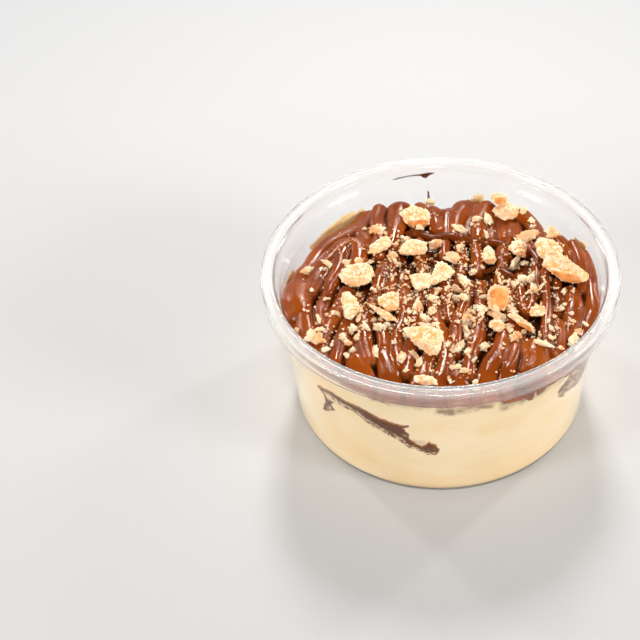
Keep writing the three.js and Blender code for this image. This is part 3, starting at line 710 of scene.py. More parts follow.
def buildTopping():
    deselectAll()
    steps = topping["gridSteps"]
    bpy.ops.mesh.primitive_grid_add(x_subdivisions=steps, y_subdivisions=steps, size=2, location=(0, 0, 0))
    piece = bpy.context.object
    disc = onDisc(readPlaces(piece))
    writePlaces(piece, toppingSurface(*disc) * mm)
    count = len(piece.data.vertices)
    closeUnder(piece, np.hypot(*disc) > 0.9999)
    places = readPlaces(piece) / mm
    x, y = places[count:, 0], places[count:, 1]
    turn = fromFront(x, y)
    isMiddle = np.hypot(x, y) < 1
    seam = alongTable(seamByAngle, turn) + layered(turn, turn * 0, toppingNoise["seam"])
    low = np.where(isMiddle, 36, seam)
    out = np.where(isMiddle, 0, wallInside(low) + topping["reachIntoWall"])
    places[count:] = aboutAxis(np.radians(turn), out, low)
    writePlaces(piece, places * mm)
    faceOutwards(piece)
    x, y, _ = readPlaces(piece).T / mm
    # painted shade: darker in the creases between strands and in the gaps below their level, fading out near
    # the wall
    creaseShade = smoothStep(fromMap(creaseMap, x, y), 0.05, 0.85)
    gapShade = 1 - smoothStep(fromMap(heightMap, x, y) - levelBetween(x, y), -1.0, 0.8)
    writeAttribute(piece, "paintedShadeAndTone", np.maximum(creaseShade, 0.65 * gapShade) * smoothStep(50 - np.hypot(x, y), 0, 3))
    return piece


chocolateFinish = glossyChocolate()
finishPiece(buildTopping(), "chocolateTopping", chocolateFinish, ["chocolate"])
print("scene: topping")


# threads that cross over the strands

threads = [
    (1.9, [(-13, 30.4), (-8, 30.3), (-3, 28.8), (2, 28.8), (8, 27.2), (14, 26), (20, 26.4), (25.4, 23.4)]),
    (0.95,
     [(-9.5, 17), (-5, 17), (-1, 15.3), (3, 12.3), (6, 10.8), (15, 11), (19, 12.6), (21.5, 9.6), (26, 6)]),
    (1.15, [(31, 20.8), (33, 17), (34.2, 12)]),
]
threadShape = {"rise": 2.6, "sides": 20, "flatten": 0.7, "lift": 0.4, "sag": 0.35, "dark": 0.5}


def tube(name, rows, sides):  # closed round bar through rows of x, y, z, radius in mm
    places, faces = [], []
    for i, row in enumerate(rows):
        ahead = rows[min(i + 1, len(rows) - 1)][:3] - rows[max(i - 1, 0)][:3]
        ahead = ahead / np.linalg.norm(ahead)
        across = np.cross(ahead, (0, 0, 1))
        across = across / np.linalg.norm(across)
        up = threadShape["flatten"] * np.cross(across, ahead)
        for a in np.linspace(0, 2 * pi, sides, endpoint=False):
            places.append(row[:3] + row[3] * (math.cos(a) * across + math.sin(a) * up))
    for start in range(0, (len(rows) - 1) * sides, sides):
        for k in range(sides):
            a, b = start + k, start + (k + 1) % sides
            faces.append((a, b, b + sides, a + sides))
    faces.append(tuple(range(sides)))
    faces.append(tuple(range((len(rows) - 1) * sides, len(rows) * sides)))
    piece = meshPiece(name, np.array(places) * mm, faces)
    faceOutwards(piece)
    return piece


def buildThread(index, radius, path):
    rows = [(*fromChart(x, y, levelAt(x, y) + threadShape["rise"]), radius) for x, y in path]
    rows = curveThrough(rows, 8)
    under = fromMap(heightMap, rows[:, 0], rows[:, 1])
    soft = np.convolve(np.pad(under, 8, mode="edge"), np.ones(17) / 17, mode="valid")
    sag = threadShape["sag"]
    rows[:, 2] = np.maximum(under * sag + soft * (1 - sag), soft) + radius * threadShape["lift"]
    share = np.linspace(0, 1, len(rows))
    taper = np.sqrt(np.clip(np.minimum(share, 1 - share) * 14, 0.02, 1))
    rows[:, 3] *= taper * (1 + 0.12 * softNoise(share * 9, share * 0 + index, 41))
    name = f"chocolateThread{index}"
    piece = tube(name, rows, threadShape["sides"])
    # the threads take an even share of the dark crease colour, as their own darker tone
    writeAttribute(piece, "paintedShadeAndTone", np.full(len(piece.data.vertices), threadShape["dark"]))
    finishPiece(piece, name, chocolateFinish)


for index, (radius, path) in enumerate(threads):
    buildThread(index + 1, radius, path)
print("scene: threads")


# cream

creamShape = {
    "sides": 560, "rows": 70, "reachIntoWall": 0.1, "overlap": 0.7,
    "evenTop": 40,  # height at which the wall is spun before its edge follows the seam
    "dipInset": 0.9, "dipDrop": 4, "middle": 34,  # the top falls away inside the wall, under the chocolate
}
veils = [  # thin chocolate seen through the cream: from, to, lowest height, strength
    (-24, -16, 43.6, 0.7), (-16, -2, 44.2, 0.5), (-1.5, 5.5, 41.4, 0.85), (5, 18, 42.2, 0.8),
    (20, 34, 40, 0.8), (33, 46, 39.6, 0.5), (44, 52, 38.6, 0.4), (-46, -36, 33.2, 0.25), (-12, -4, 25.5, 0.3),
]
veilNoise = [(0.9, 2.2, 1.4, 53), (0.5, 0.8, 0.6, 54)]
veilsFromSeam = 40  # a veil that starts lower is a patch of its own


def softCream():
    tree = Finish("softCream")
    shades = [(0.3, (0.885, 0.63, 0.325)), (0.5, (0.915, 0.705, 0.43)), (0.7, (0.945, 0.76, 0.525))]
    colour = tree.ramp(tree.noise(34, 4, 0.55, tree.stretch((1, 1, 2.2), (0.5, 0.2, 0.1))), shades)
    wisps = tree.span(tree.noise(60, 5, 0.7, tree.stretch((1, 1, 3.2), (0.1, 0.5, 0.3))), 0.60, 0.72)
    colour = tree.blend(tree.maths("MULTIPLY", wisps, 0.45), colour, (0.88, 0.60, 0.27))
    colour = tree.blend(tree.attribute("veil"), colour, (0.20, 0.10, 0.055))
    tree.set(Base_Color=colour, Roughness=0.42, IOR=1.42)
    tree.set(Subsurface_Weight=0.25, Subsurface_Radius=(1.0, 0.7, 0.4), Subsurface_Scale=0.003)
    tree.bump(tree.noise(160), 0.0001, 0.3)
    return tree.owner


def veilAt(turn, z):
    blur = layered(turn, z, veilNoise)
    veil = np.zeros(turn.shape)
    for start, end, low, strength in veils:
        across = smoothStep(turn, start - 1, start + 1.5) * (1 - smoothStep(turn, end - 1.5, end + 1))
        up = smoothStep(z + blur * 0.7, low - 0.6, low + 1.6)
        if low < veilsFromSeam:
            up = up * (1 - smoothStep(z, low + 2.5, low + 4))
        patch = 0.55 + 0.45 * smoothStep(blur, -0.5, 0.6)
        veil = np.maximum(veil, across * up * strength * patch)
    return veil


def buildCream():
    c, even, reach = cupShape, creamShape["evenTop"], creamShape["reachIntoWall"]
    floor = c["panelRise"] + c["wall"]
    inner = c["heelRadius"] - c["wall"]
    heel = arcPoints(c["footRadius"] - c["heelRadius"], floor + inner, inner + reach, -90, 0, 8)
    base = heel[-1][1]
    rises = np.linspace(base, even, creamShape["rows"])[1:]
    dip = float(wallInside(even)) - creamShape["dipInset"]
    side = [(float(wallInside(z)) + reach, z) for z in rises]
    piece = spun("creamFill", [(0, floor - reach), *heel, *side, (dip, even), (0, even)], creamShape["sides"])
    places = readPlaces(piece) / mm
    turn = fromFront(places[:, 0], places[:, 1])
    seam = alongTable(seamByAngle, turn) + creamShape["overlap"]
    across = np.hypot(places[:, 0], places[:, 1])
    isDip = (places[:, 2] > even - 0.1) & (across < dip + 0.1)
    isWall = (places[:, 2] > base + 0.01) & ~isDip
    height = np.where(isWall, base + (places[:, 2] - base) * (seam - base) / (even - base), places[:, 2])
    raised = aboutAxis(np.radians(turn), wallInside(height) + reach, height)
    places[isWall] = raised[isWall]
    places[isDip, 2] = (seam - creamShape["dipDrop"])[isDip]
    places[isDip & (across < 1), 2] = creamShape["middle"]
    writePlaces(piece, places * mm)
    writeAttribute(piece, "veil", veilAt(turn, places[:, 2]) * isWall)
    return piece


finishPiece(buildCream(), "creamFill", softCream(), ["cream"])
print("scene: cream")


# thin layers on the inside of the wall, laid out by angle from the front and height

wallRadius = 52  # mm, turns angles into lengths along the wall


def gridAround(outline, spacing, margin):  # points around an outline: along the wall, up, and how many a row
    low, high = np.min(outline, 0) - margin, np.max(outline, 0) + margin
    xs, zs = (np.arange(low[i], high[i], spacing) for i in (0, 1))
    x, z = [g.ravel() for g in np.meshgrid(xs, zs)]
    return x, z, len(xs)


def insideDistance(x, y, outline):  # distance to the outline, above zero inside it
    best = np.full(x.shape, 1e9)
    inside = np.zeros(x.shape, bool)
    for (ax, ay), (bx, by) in zip(outline, outline[1:] + outline[:1]):
        dx, dy = bx - ax, by - ay
        t = np.clip(((x - ax) * dx + (y - ay) * dy) / (dx * dx + dy * dy), 0, 1)
        best = np.minimum(best, np.hypot(x - ax - t * dx, y - ay - t * dy))
        inside ^= ((ay > y) != (by > y)) & (x < dx * (y - ay) / (dy + 1e-12) + ax)
    return np.where(inside, best, -best)


def sheetOnWall(name, x, z, out, wide, away, least, inward):
    faces = []  # the squares of the grid that reach into the outline
    for start in range(0, len(x) - wide, wide):
        for a in range(start, start + wide - 1):
            corners = (a, a + wide, a + wide + 1, a + 1) if inward else (a, a + 1, a + wide + 1, a + wide)
            if max(away[i] for i in corners) > least:
                faces.append(corners)
    used = sorted({i for f in faces for i in f})
    where = {old: new for new, old in enumerate(used)}
    places = aboutAxis(x / wallRadius, out, z)[used]
    return meshPiece(name, places * mm, [tuple(where[i] for i in f) for f in faces]), used


def thicken(piece, depth):
    makeActive(piece)
    thick = piece.modifiers.new("thick", "SOLIDIFY")
    thick.thickness = depth * mm
    thick.offset = -1
    bpy.ops.object.modifier_apply(modifier="thick")
    faceOutwards(piece)


# dabs on the wall above the dessert

innerMarks = {  # outline, thickness, colour
    "creamDabLeft": ([
        (-149, 43.0), (-147.4, 44.6), (-144, 44.4), (-141, 45.4), (-137, 45.2), (-131, 44.2), (-125, 43.2),
        (-118, 42.4), (-117.6, 40.6), (-119, 37.4), (-120, 35.0), (-127, 34.6), (-134, 36), (-142, 38),
        (-149, 40),
    ], 0.30, "cream"),
    "creamDabFarLeft": ([
        (-109.5, 36.6), (-106, 41.2), (-102, 43.2), (-98, 44), (-93, 43.6), (-90, 42), (-92, 38), (-98, 36),
        (-104, 35.4),
    ], 0.30, "cream"),
    "creamDabBack": ([(162, 41), (162.4, 45.4), (165, 46.2), (167.6, 44.6), (168.6, 41)], 0.3, "cream"),
    "creamDabRight": ([
        (109.4, 45.4), (109, 49.6), (111, 50.2), (113.4, 48.4), (117.6, 47.6), (118, 45.6),
    ], 0.12, "cream"),
    "chocolateSpike": ([
        (-175.5, 40.5), (-175.3, 44), (-175.1, 45.8), (-174.4, 45.9), (-174.4, 43.6), (-174.6, 40.5),
    ], 0.45, "chocolate"),
    "chocolateTick": ([
        (-177.6, 53.2), (-175.4, 53.4), (-172.5, 53.0), (-167, 52.75), (-162, 52.4), (-160.6, 52.0),
        (-162, 51.8), (-167, 52.2), (-172.0, 52.2), (-172.6, 51.2), (-174.0, 51.0), (-175.4, 52.0),
    ], 0.2, "chocolate"),
}
dabShape = {
    "spacing": 0.3, "margin": 1.6, "gap": 0.02, "skin": 0.08,
    "plump": 0.2, "long": 4,  # a thicker and longer dab has a softer edge than this
    "softEdge": 1.0, "hardEdge": 0.25,
}
reliefNoise = [(0.5, 2.4, 1.4, 69), (0.25, 0.9, 0.7, 70)]


def dabFinish(name, low, high, strength, tint):
    tree = Finish(name)
    colour = tree.ramp(tree.noise(150, 4, 0.6), [(0.35, low), (0.7, high)])
    tree.set(Base_Color=colour, Roughness=0.35, IOR=1.4)
    patchy = tree.span(tree.noise(420, 4, 0.7), 0.3, 0.6, 0.7, 1.0)
    cover = tree.maths("MULTIPLY", tree.attribute("cover"), patchy)
    through = tree.add("BsdfTransparent", {"Color": tree.blend(cover, (1, 1, 1), tint)})
    tree.show(tree.mixShaders(tree.maths("MULTIPLY", cover, strength), through, tree.shader))
    return tree.owner


def buildInnerMark(name, outline, thickness, seed):
    flat = [((a if a > 0 else a + 360) * wallRadius * pi / 180, z) for a, z in outline]
    x, z, wide = gridAround(flat, dabShape["spacing"], dabShape["margin"])
    isSoft = thickness > dabShape["plump"] and np.ptp(np.array(flat)[:, 0]) > dabShape["long"]
    soft = dabShape["softEdge"] if isSoft else dabShape["hardEdge"]
    noisy = layered(x, z, [(1, 1.9, 1.3, 67 + seed), (0.7, 0.8, 0.6, 68)])
    away = insideDistance(x, z, flat) + 0.45 * soft * noisy
    relief = 0.7 + layered(x, z, reliefNoise)
    out = wallInside(z) - dabShape["gap"] - thickness * relief * smoothStep(away, -0.3, 1.6 * soft)
    piece, used = sheetOnWall(name, x, z, out, wide, away, 0, True)
    writeAttribute(piece, "cover", smoothStep(away[used], -0.1, 1.9 * soft))
    thicken(piece, dabShape["skin"])
    return piece


dabFinishes = {
    "cream": dabFinish("creamDab", (1.0, 0.77, 0.36), (1.0, 0.83, 0.50), 0.92, (1.0, 0.86, 0.58)),
    "chocolate": dabFinish("chocolateDab", (0.05, 0.012, 0.003), (0.12, 0.03, 0.006), 1.0, (0.5, 0.3, 0.2)),
}
for seed, (name, (outline, thickness, kind)) in enumerate(innerMarks.items()):
    finishPiece(buildInnerMark(name, outline, thickness, seed), name, dabFinishes[kind])
print("scene: dabs above the dessert")


# chocolate pressed between the cream and the wall

marks = {
    "streakMain": [
        (-48.4, 35.0), (-46.5, 36.4), (-43.5, 37.4), (-40, 38.3), (-36, 38.1), (-32, 37.9), (-28, 37.9),
        (-25, 37.5), (-22, 36.3), (-19, 35.9), (-16, 35.4), (-13, 35.1), (-10.4, 35.0), (-12, 33.6),
        (-11.2, 32.2), (-9.8, 30.6), (-11, 29.2), (-8.5, 27.2), (-6, 25.8), (-4.6, 27.0), (-3.8, 28.2),
        (-1.4, 26.8), (-0.1, 24.6), (-1.2, 21.6), (-4, 21.0), (-5.6, 22.6), (-8, 23.6), (-10.6, 24.0),
        (-12.4, 25.6), (-14.6, 27.2), (-18, 28.4), (-21, 29.4), (-24, 30.6), (-27, 32.4), (-30, 33.6),
        (-36, 34.0), (-42, 34.9), (-45.5, 34.4),
    ],
    "streakHook": [
        (-45.4, 34.6), (-44.0, 34.6), (-42.8, 32.6), (-41, 33.2), (-39.2, 33.4), (-40.6, 31.2),
        (-39.6, 29.2), (-41.5, 27.6), (-44, 25.6), (-46.6, 24.6), (-45.6, 26.6), (-44.8, 28.6),
        (-44.2, 30.8), (-44.2, 32.6),
    ],
    "smearRight": [
        (45.0, 35.2), (46.6, 36.6), (50, 37.8), (51.6, 39.6), (55, 41.6), (66, 41.6), (78, 41), (78, 36.6),
        (72, 33), (67, 29.6), (64.6, 27.6), (61, 27), (57.6, 27.6), (54, 29.2), (51, 30.2), (48.8, 29.0),
        (47.4, 30.4), (45.6, 32.4),
    ],
}
markShape = {
    "spacing": 0.22, "margin": 1.4, "lift": 0.3, "inWall": 0.1, "proud": 0.1, "depth": 1.1, "ragged": 0.33,
}


def wetMark(name, low, high):
    tree = Finish(name)
    dark = tree.ramp(tree.noise(160, 4, 0.6), [(0.35, low), (0.7, high)])
    colour = tree.blend(tree.attribute("orange", 0.8), dark, (0.60, 0.21, 0.045))
    colour = tree.blend(tree.attribute("speck"), colour, (0.78, 0.58, 0.34))
    colour = tree.blend(tree.attribute("thin", 0.5), colour, (0.72, 0.45, 0.22))
    tree.set(Base_Color=colour, Roughness=0.45, IOR=1.4, Specular_IOR_Level=0.08)
    return tree.owner


def buildMark(name, outline, seed):
    flat = [(a * wallRadius * pi / 180, z + markShape["lift"]) for a, z in outline]
    x, z, wide = gridAround(flat, markShape["spacing"], markShape["margin"])
    ragged = layered(x, z, [(1, 1.7, 1.1, 61 + seed), (0.5, 0.4, 0.33, 63)])
    ragged += 0.8 * softNoise(x / 0.75 + 0.35 * x + z, z / 0.55, 62)
    away = insideDistance(x, z, flat) + markShape["ragged"] * ragged
    out = wallInside(z) + markShape["inWall"] + markShape["proud"] * np.clip(away * 0.9, -1, 1)
    piece, used = sheetOnWall(name, x, z, out, wide, away, -0.45, False)
    x, z, away = x[used], z[used], away[used]
    above, below = insideDistance(x, z + 1.1, flat), insideDistance(x, z - 1.1, flat)
    speckle = softNoise(x / 0.8 + z / 2, z / 0.45, 64) + 0.7 * softNoise(x / 0.34, z / 0.34, 65)
    streaky = softNoise(x / 3.2, (z + 0.34 * x) / 0.45, 66)
    topEdge = smoothStep(-above, -0.2, 0.8) * smoothStep(below, -0.4, 0.6)
    lower = smoothStep(above, 0.2, 1.4) * smoothStep(1.9 - below, 0, 2.2)
    specks = (smoothStep(speckle, 0.0, 0.3) + 0.5 * smoothStep(streaky, 0.2, 0.5)) * lower
    if name == "smearRight":  # wiped across, so that the cream shows in slanting streaks
        wiped = smoothStep(softNoise((x - z) / 5, (x + z) / 1.1, 67) + 0.4 * speckle, 0.1, 0.7)
        specks = np.maximum(specks, 0.45 * wiped * smoothStep(away, 0.5, 2.0))
    writeAttribute(piece, "orange", topEdge * (0.5 + 0.5 * smoothStep(speckle, -0.4, 0.8)))
    writeAttribute(piece, "speck", np.clip(specks, 0, 1))
    writeAttribute(piece, "thin", 1 - smoothStep(away, 0, 0.5))
    thicken(piece, markShape["depth"])
    return piece


streakFinish = wetMark("streakChocolate", (0.080, 0.017, 0.0035), (0.145, 0.037, 0.010))
smearFinish = wetMark("smearChocolate", (0.13, 0.023, 0.005), (0.21, 0.045, 0.012))
for seed, (name, outline) in enumerate(marks.items()):
    finish = smearFinish if name == "smearRight" else streakFinish
    replaced = ["chocolate_streak"] if name == "streakMain" else ()
    finishPiece(buildMark(name, outline, seed), name, finish, replaced)
print("scene: marks on the wall")


# biscuit pieces

biscuits = [  # height, side that is browned, how much, outline on the chart
    (6.5, (0.1, -0.95, -0.1), 0.75,
     [(-14.8, 39.8), (-14, 43), (-9.6, 45.2), (-5.4, 42.6), (-4.4, 39), (-4.4, 35), (-6, 33.4),
      (-11.4, 33.4), (-12.8, 36.4)]),
    (6.0, (0, -0.5, 0.8), 0.15,
     [(18.9, 42), (19.6, 44.6), (23.8, 47.6), (26.4, 46.2), (28.8, 42.8), (28.4, 40.2), (26, 37.4),
      (22, 37.6), (19.6, 40.2)]),
    (5.0, (0.3, -0.8, 0.1), 0.3,
     [(23.4, 21.8), (24.8, 24.4), (26.6, 26.2), (28.8, 24.6), (29.8, 20), (28.8, 17), (26.4, 17.8),
      (24.4, 19.8)]),
    (5.5, (0, -0.7, 0.5), 0.25,
     [(33, 23.4), (34.6, 27.2), (36, 27.6), (40.4, 25), (42.4, 20.6), (41.8, 17.4), (37, 16), (34.2, 17.6),
      (33, 20.6)]),
    (6.0, (-0.3, -0.85, 0.2), 1.0,
     [(35, 12.4), (36.2, 17), (39.4, 19.6), (42, 18.2), (47, 12.6), (50.2, 8.4), (49.4, 5.4), (46, 4.2),
      (42.4, 4.2), (39, 7.6)]),
    (6.5, (0, -0.7, 0.2), 0.25,
     [(-34, 6.4), (-33.2, 9.4), (-30, 12.6), (-26, 13.8), (-23.8, 12), (-23.2, 7), (-24.6, 2.8), (-28, 1.2),
      (-32, 3)]),
    (3.8, (-0.05, -0.25, 0.95), 0.12,
     [(-10.8, 7), (-8.5, 7.9), (-4, 8), (-1, 6.4), (-1, 3.6), (-4, 1.6), (-7.4, -0.6), (-9, 1),
      (-10.2, 4.8)]),
    (5.0, (0.1, -0.7, 0.6), 0.85,
     [(18, 52.6), (18.4, 49.6), (20.6, 46.6), (22.8, 46), (24.4, 48.4), (24, 52), (21.4, 53.6)]),
    (4.4, (-0.2, 0.1, 0.95), 0.15,
     [(-33.6, -3.8), (-32.4, -1.6), (-30.2, -1.2), (-27.8, -5.6), (-26, -9.6), (-27.2, -12.8), (-29.4, -14),
      (-32.2, -13.4), (-32.4, -8)]),
    (4.4, (0.2, -0.9, 0), 0.45,
     [(-20.4, -6), (-19.6, -3.8), (-16, -1.4), (-14.2, -1.6), (-13.6, -8.6), (-14.8, -10), (-18, -9.4)]),
    (3.4, (-0.5, -0.3, 0.8), 0.2,
     [(-25, -4.8), (-23.4, -4), (-21.4, -5.6), (-17, -10.8), (-13.4, -13), (-13.8, -15.2), (-17, -15),
      (-20, -12), (-24, -7.6)]),
    (6.6, (-0.4, -0.7, 0.4), 0.1,
     [(-12.4, -19.8), (-11, -18.2), (-5, -17.2), (0.4, -19), (1.2, -22), (-0.2, -28), (-1.4, -30.2),
      (-3.4, -30.6), (-7.4, -27.4), (-9.4, -23.4)]),
    (5.0, (0.2, 0.2, 1), 0.2,
     [(-25.2, 18.6), (-24.8, 22), (-22.4, 25.4), (-19.2, 28.2), (-17.8, 26.6), (-16.8, 23.2), (-19.4, 20.6),
      (-22.4, 18)]),
    (5.0, (0.3, -0.7, 0.3), 0.2,
     [(-14.6, 20), (-13.6, 23.6), (-10.6, 25.8), (-7.4, 25.2), (-5, 24.2), (-5, 19.8), (-6.8, 17.8),
      (-11, 17.8), (-13.8, 18.4)]),
    (4.4, (0.1, -0.95, 0), 0.35,
     [(14, 17.4), (14.8, 20.4), (16.6, 22.6), (18.4, 20.2), (19.2, 16.4), (18.4, 13.4), (16.8, 12.8),
      (15, 14.4)]),
    (3.6, (0, -0.1, 1), 1.25,
     [(16.4, 0), (17.6, 1.8), (20, 2.6), (22.8, 1.2), (23.2, -1.4), (22.2, -5.4), (21, -9), (18, -9.8),
      (16, -8.8), (16, -4)]),
    (3.4, (-0.35, -0.75, 0.5), 1.0,
     [(22, -12.6), (23.6, -10.4), (25.4, -12), (28.8, -15), (30.6, -19), (29.6, -21), (27, -18),
      (23.6, -15.4)]),
    (3.8, (0, -0.2, 1), 0.45,
     [(15.6, -15.8), (16.6, -14.4), (19.8, -14.4), (20.8, -16.8), (20.2, -19), (18.8, -19.8), (16.6, -17.8)]),
    (3.8, (0, -0.6, -0.6), 0.15,
     [(29.4, -8), (31.4, -7.6), (34.6, -5.8), (35.2, -9.4), (32.4, -12.2), (30.4, -13), (29.2, -11.6)]),
    (3.0, (0, -1, 0.1), 0.3,
     [(-8, -39.8), (-7, -38.6), (-2.8, -39), (-1.2, -40.6), (-1.4, -42.6), (-4, -43), (-7.4, -41.8)]),
]
secondEnds = {  # the bone-shaped piece has two lobes
    7: (3.8, (0, -0.25, 0.95), 0.12,
        [(-3.2, 5), (-2.2, 10), (-1.4, 13.2), (0.2, 14.4), (2.2, 13), (4.6, 9.2), (3.4, 6.6), (1, 4.4),
         (-2, 2.8)]),
}
lifts = {8: 6.6}  # pieces that lie on others
biscuitShape = {
    "sink": 0.3, "crestRise": 2.6, "subdivisions": 6, "largest": 30.0,
    "sideSoftness": 0.7, "faceSoftness": 1.4, "chipSoftness": 0.8,
    "crustAt": 0.78, "crustSoftness": 0.4,  # where the browned face cuts the piece
}
chips = [  # direction, share kept
    (0.1, -0.8, 0.55, 0.74), (-0.75, -0.3, 0.6, 0.84), (0.7, -0.2, 0.7, 0.84), (0.1, 0.5, 0.85, 0.88),
]
# width, height and painted crease shade of the grains
grainShape = [(2.7, 0.55, 0.35), (1.3, 0.38, 0.75), (0.66, 0.30, 0.4), (0.36, 0.18, 0.2)]


def bakedBiscuit():
    tree = Finish("bakedBiscuit")
    shades = [(0.3, (0.96, 0.66, 0.36)), (0.5, (0.98, 0.81, 0.56)), (0.68, (1.0, 0.91, 0.76))]
    browns = [(0.3, (0.60, 0.17, 0.025)), (0.5, (0.82, 0.30, 0.07)), (0.72, (0.94, 0.48, 0.18))]
    warm = tree.span(tree.noise(420, 2, 0.5), 0.5, 0.64, 0.0, 0.75)
    colour = tree.blend(warm, tree.ramp(tree.noise(900, 4, 0.65), shades), (0.99, 0.62, 0.28))
    # paler colour on small pieces and crumbs: partly their own paler tone, partly painted light for the light
    # they lose among the strands
    colour = tree.blend(tree.attribute("paleAndPaintedLight"), colour, (1.0, 0.89, 0.64))
    # painted shade: orange in the creases between grains and on their undersides, with some random tone on
    # one side of the small pieces
    colour = tree.blend(tree.attribute("paintedShadeAndTone"), colour, (0.97, 0.46, 0.15))
    colour = tree.blend(tree.attribute("crust"), colour, tree.ramp(tree.noise(420, 4, 0.6), browns))
    tree.set(Base_Color=colour, Roughness=0.8, IOR=1.4)
    tree.set(Subsurface_Weight=0.25, Subsurface_Radius=(1.0, 0.8, 0.6), Subsurface_Scale=0.0008)
    tree.bump(tree.noise(1700, 4, 0.75), 0.0003, 0.6)
    return tree.owner


def solidNoise(places, seed):  # smooth random values between -1 and 1, about one unit apart
    lattice = np.random.default_rng(seed).random((solidLatticeSize,) * 3) * 2 - 1
    low = np.floor(places).astype(int)
    share = places - low
    share = share * share * (3 - 2 * share)
    total = np.zeros(len(places))
    for corner in np.ndindex(2, 2, 2):
        weight = np.prod(np.where(corner, share, 1 - share), axis=1)
        total += weight * lattice[tuple(((low + corner) % solidLatticeSize).T)]
    return total


def sphereWays(subdivisions):  # a ball and the directions of its points
    deselectAll()
    bpy.ops.mesh.primitive_ico_sphere_add(subdivisions=subdivisions, radius=1, location=(0, 0, 0))
    ways = readPlaces(bpy.context.object)
    return bpy.context.object, ways / np.linalg.norm(ways, axis=1)[:, None]


def cutOff(ways, reach, normal, depth, soft):  # cuts a lump, given by its reach each way, with a plane
    facing = ways @ normal
    plane = np.where(facing > 0.05, depth / np.maximum(facing, 0.05), 99)
    near = np.maximum(soft - np.abs(plane - reach), 0)
    return np.minimum(plane, reach) - near ** 2 / (4 * soft), plane


def chipOff(ways, reach, normal, share, soft):
    normal = np.array(normal) / np.linalg.norm(normal)
    return cutOff(ways, reach, normal, share * (ways @ normal * reach).max(), soft)


def roughen(piece, shaped, seed, rough, smooth):  # pushes grains out, gives the hollows between them
    offset = np.random.default_rng(seed).uniform(0, 60, 3)
    lengths = np.linalg.norm(shaped, axis=1)
    quiet = 1 - 0.6 * smooth
    push, creaseShade = np.zeros(len(shaped)), np.zeros(len(shaped))
    for level, (width, height, dark) in enumerate(grainShape):
        grains = solidNoise(shaped / width + offset, seed * 5 + level)
        if level == 0:
            push += height * grains * (0.4 + 0.6 * quiet)
            creaseShade -= dark * grains
        else:
            rounded = (np.abs(grains) * 2.2 - 0.75) * quiet  # rounded tops with sharp creases between
            push += height * rounded
            creaseShade -= dark * rounded
    push = np.maximum(push * rough, -0.45 * lengths)
    writePlaces(piece, shaped * (1 + push / lengths)[:, None])
    # returns painted shade, higher in the creases between the grains
    return np.clip(creaseShade + 0.1, 0, 1)


def outlinedLump(seed, height, crustWay, crustShare, outline, lift):
    b = biscuitShape
    rng = np.random.default_rng(seed)
    x, y = np.mean(outline, 0)
    level = levelAt(x, y) + b["crestRise"] + lift + height * (0.5 - b["sink"])
    middle = np.array(fromChart(x, y, level))
    piece, ways = sphereWays(b["subdivisions"])
    reach = np.full(len(ways), b["largest"])
    for start, end in zip(outline, outline[1:] + outline[:1]):  # a side seen edge on from the camera
        first, second = np.array(fromChart(*start, level)), np.array(fromChart(*end, level))
        normal = np.cross(second - first, np.array(eye) - first)
        normal /= np.linalg.norm(normal)
        depth = normal @ (first - middle)
        reach, _ = cutOff(ways, reach, normal * np.sign(depth), abs(depth), b["sideSoftness"])
    for up in (1.0, -1.0):
        reach, _ = cutOff(ways, reach, np.array((0, 0, up)), 0.5 * height, b["faceSoftness"])
    for *way, share in chips:
        way = np.array(way) + rng.normal(0, 0.18, 3)
        reach, _ = chipOff(ways, reach, way, share * rng.uniform(0.93, 1.05), b["chipSoftness"])
    reach, face = chipOff(ways, reach, crustWay, b["crustAt"], b["crustSoftness"])
    smooth = 1 - smoothStep(face - reach, 0.1, 0.6)
    shaped = ways * reach[:, None]
    paintedShadeAndTone = roughen(piece, shaped, seed, 1.0, smooth)
    mottle = 0.45 * solidNoise(shaped / 1.6, seed) + 0.35 * solidNoise(shaped / 0.6, seed + 1)
    crust = smooth * (crustShare * 1.3 + mottle) + max(crustShare - 0.7, 0) * (0.7 + mottle)
    writePlaces(piece, keepInside(readPlaces(piece) + middle) * mm)
    writeAttribute(piece, "crust", np.clip(crust, 0, 1))
    # painted shade in the creases between grains
    writeAttribute(piece, "paintedShadeAndTone", np.clip(paintedShadeAndTone * 1.3, 0, 1))
    return piece


def buildBiscuit(index, spec):
    piece = outlinedLump(index + 40, *spec, lifts.get(index, 0))
    if index in secondEnds:
        other = outlinedLump(index + 60, *secondEnds[index], 0)
        makeActive(piece)
        other.select_set(True)
        bpy.ops.object.join()
    finishPiece(piece, f"biscuitPiece{index:02d}", biscuitFinish, [f"biscuit_{index:02d}"])


biscuitFinish = bakedBiscuit()
for index, spec in enumerate(biscuits):
    buildBiscuit(index + 1, spec)
print("scene: biscuit pieces")


# small pieces and crumbs

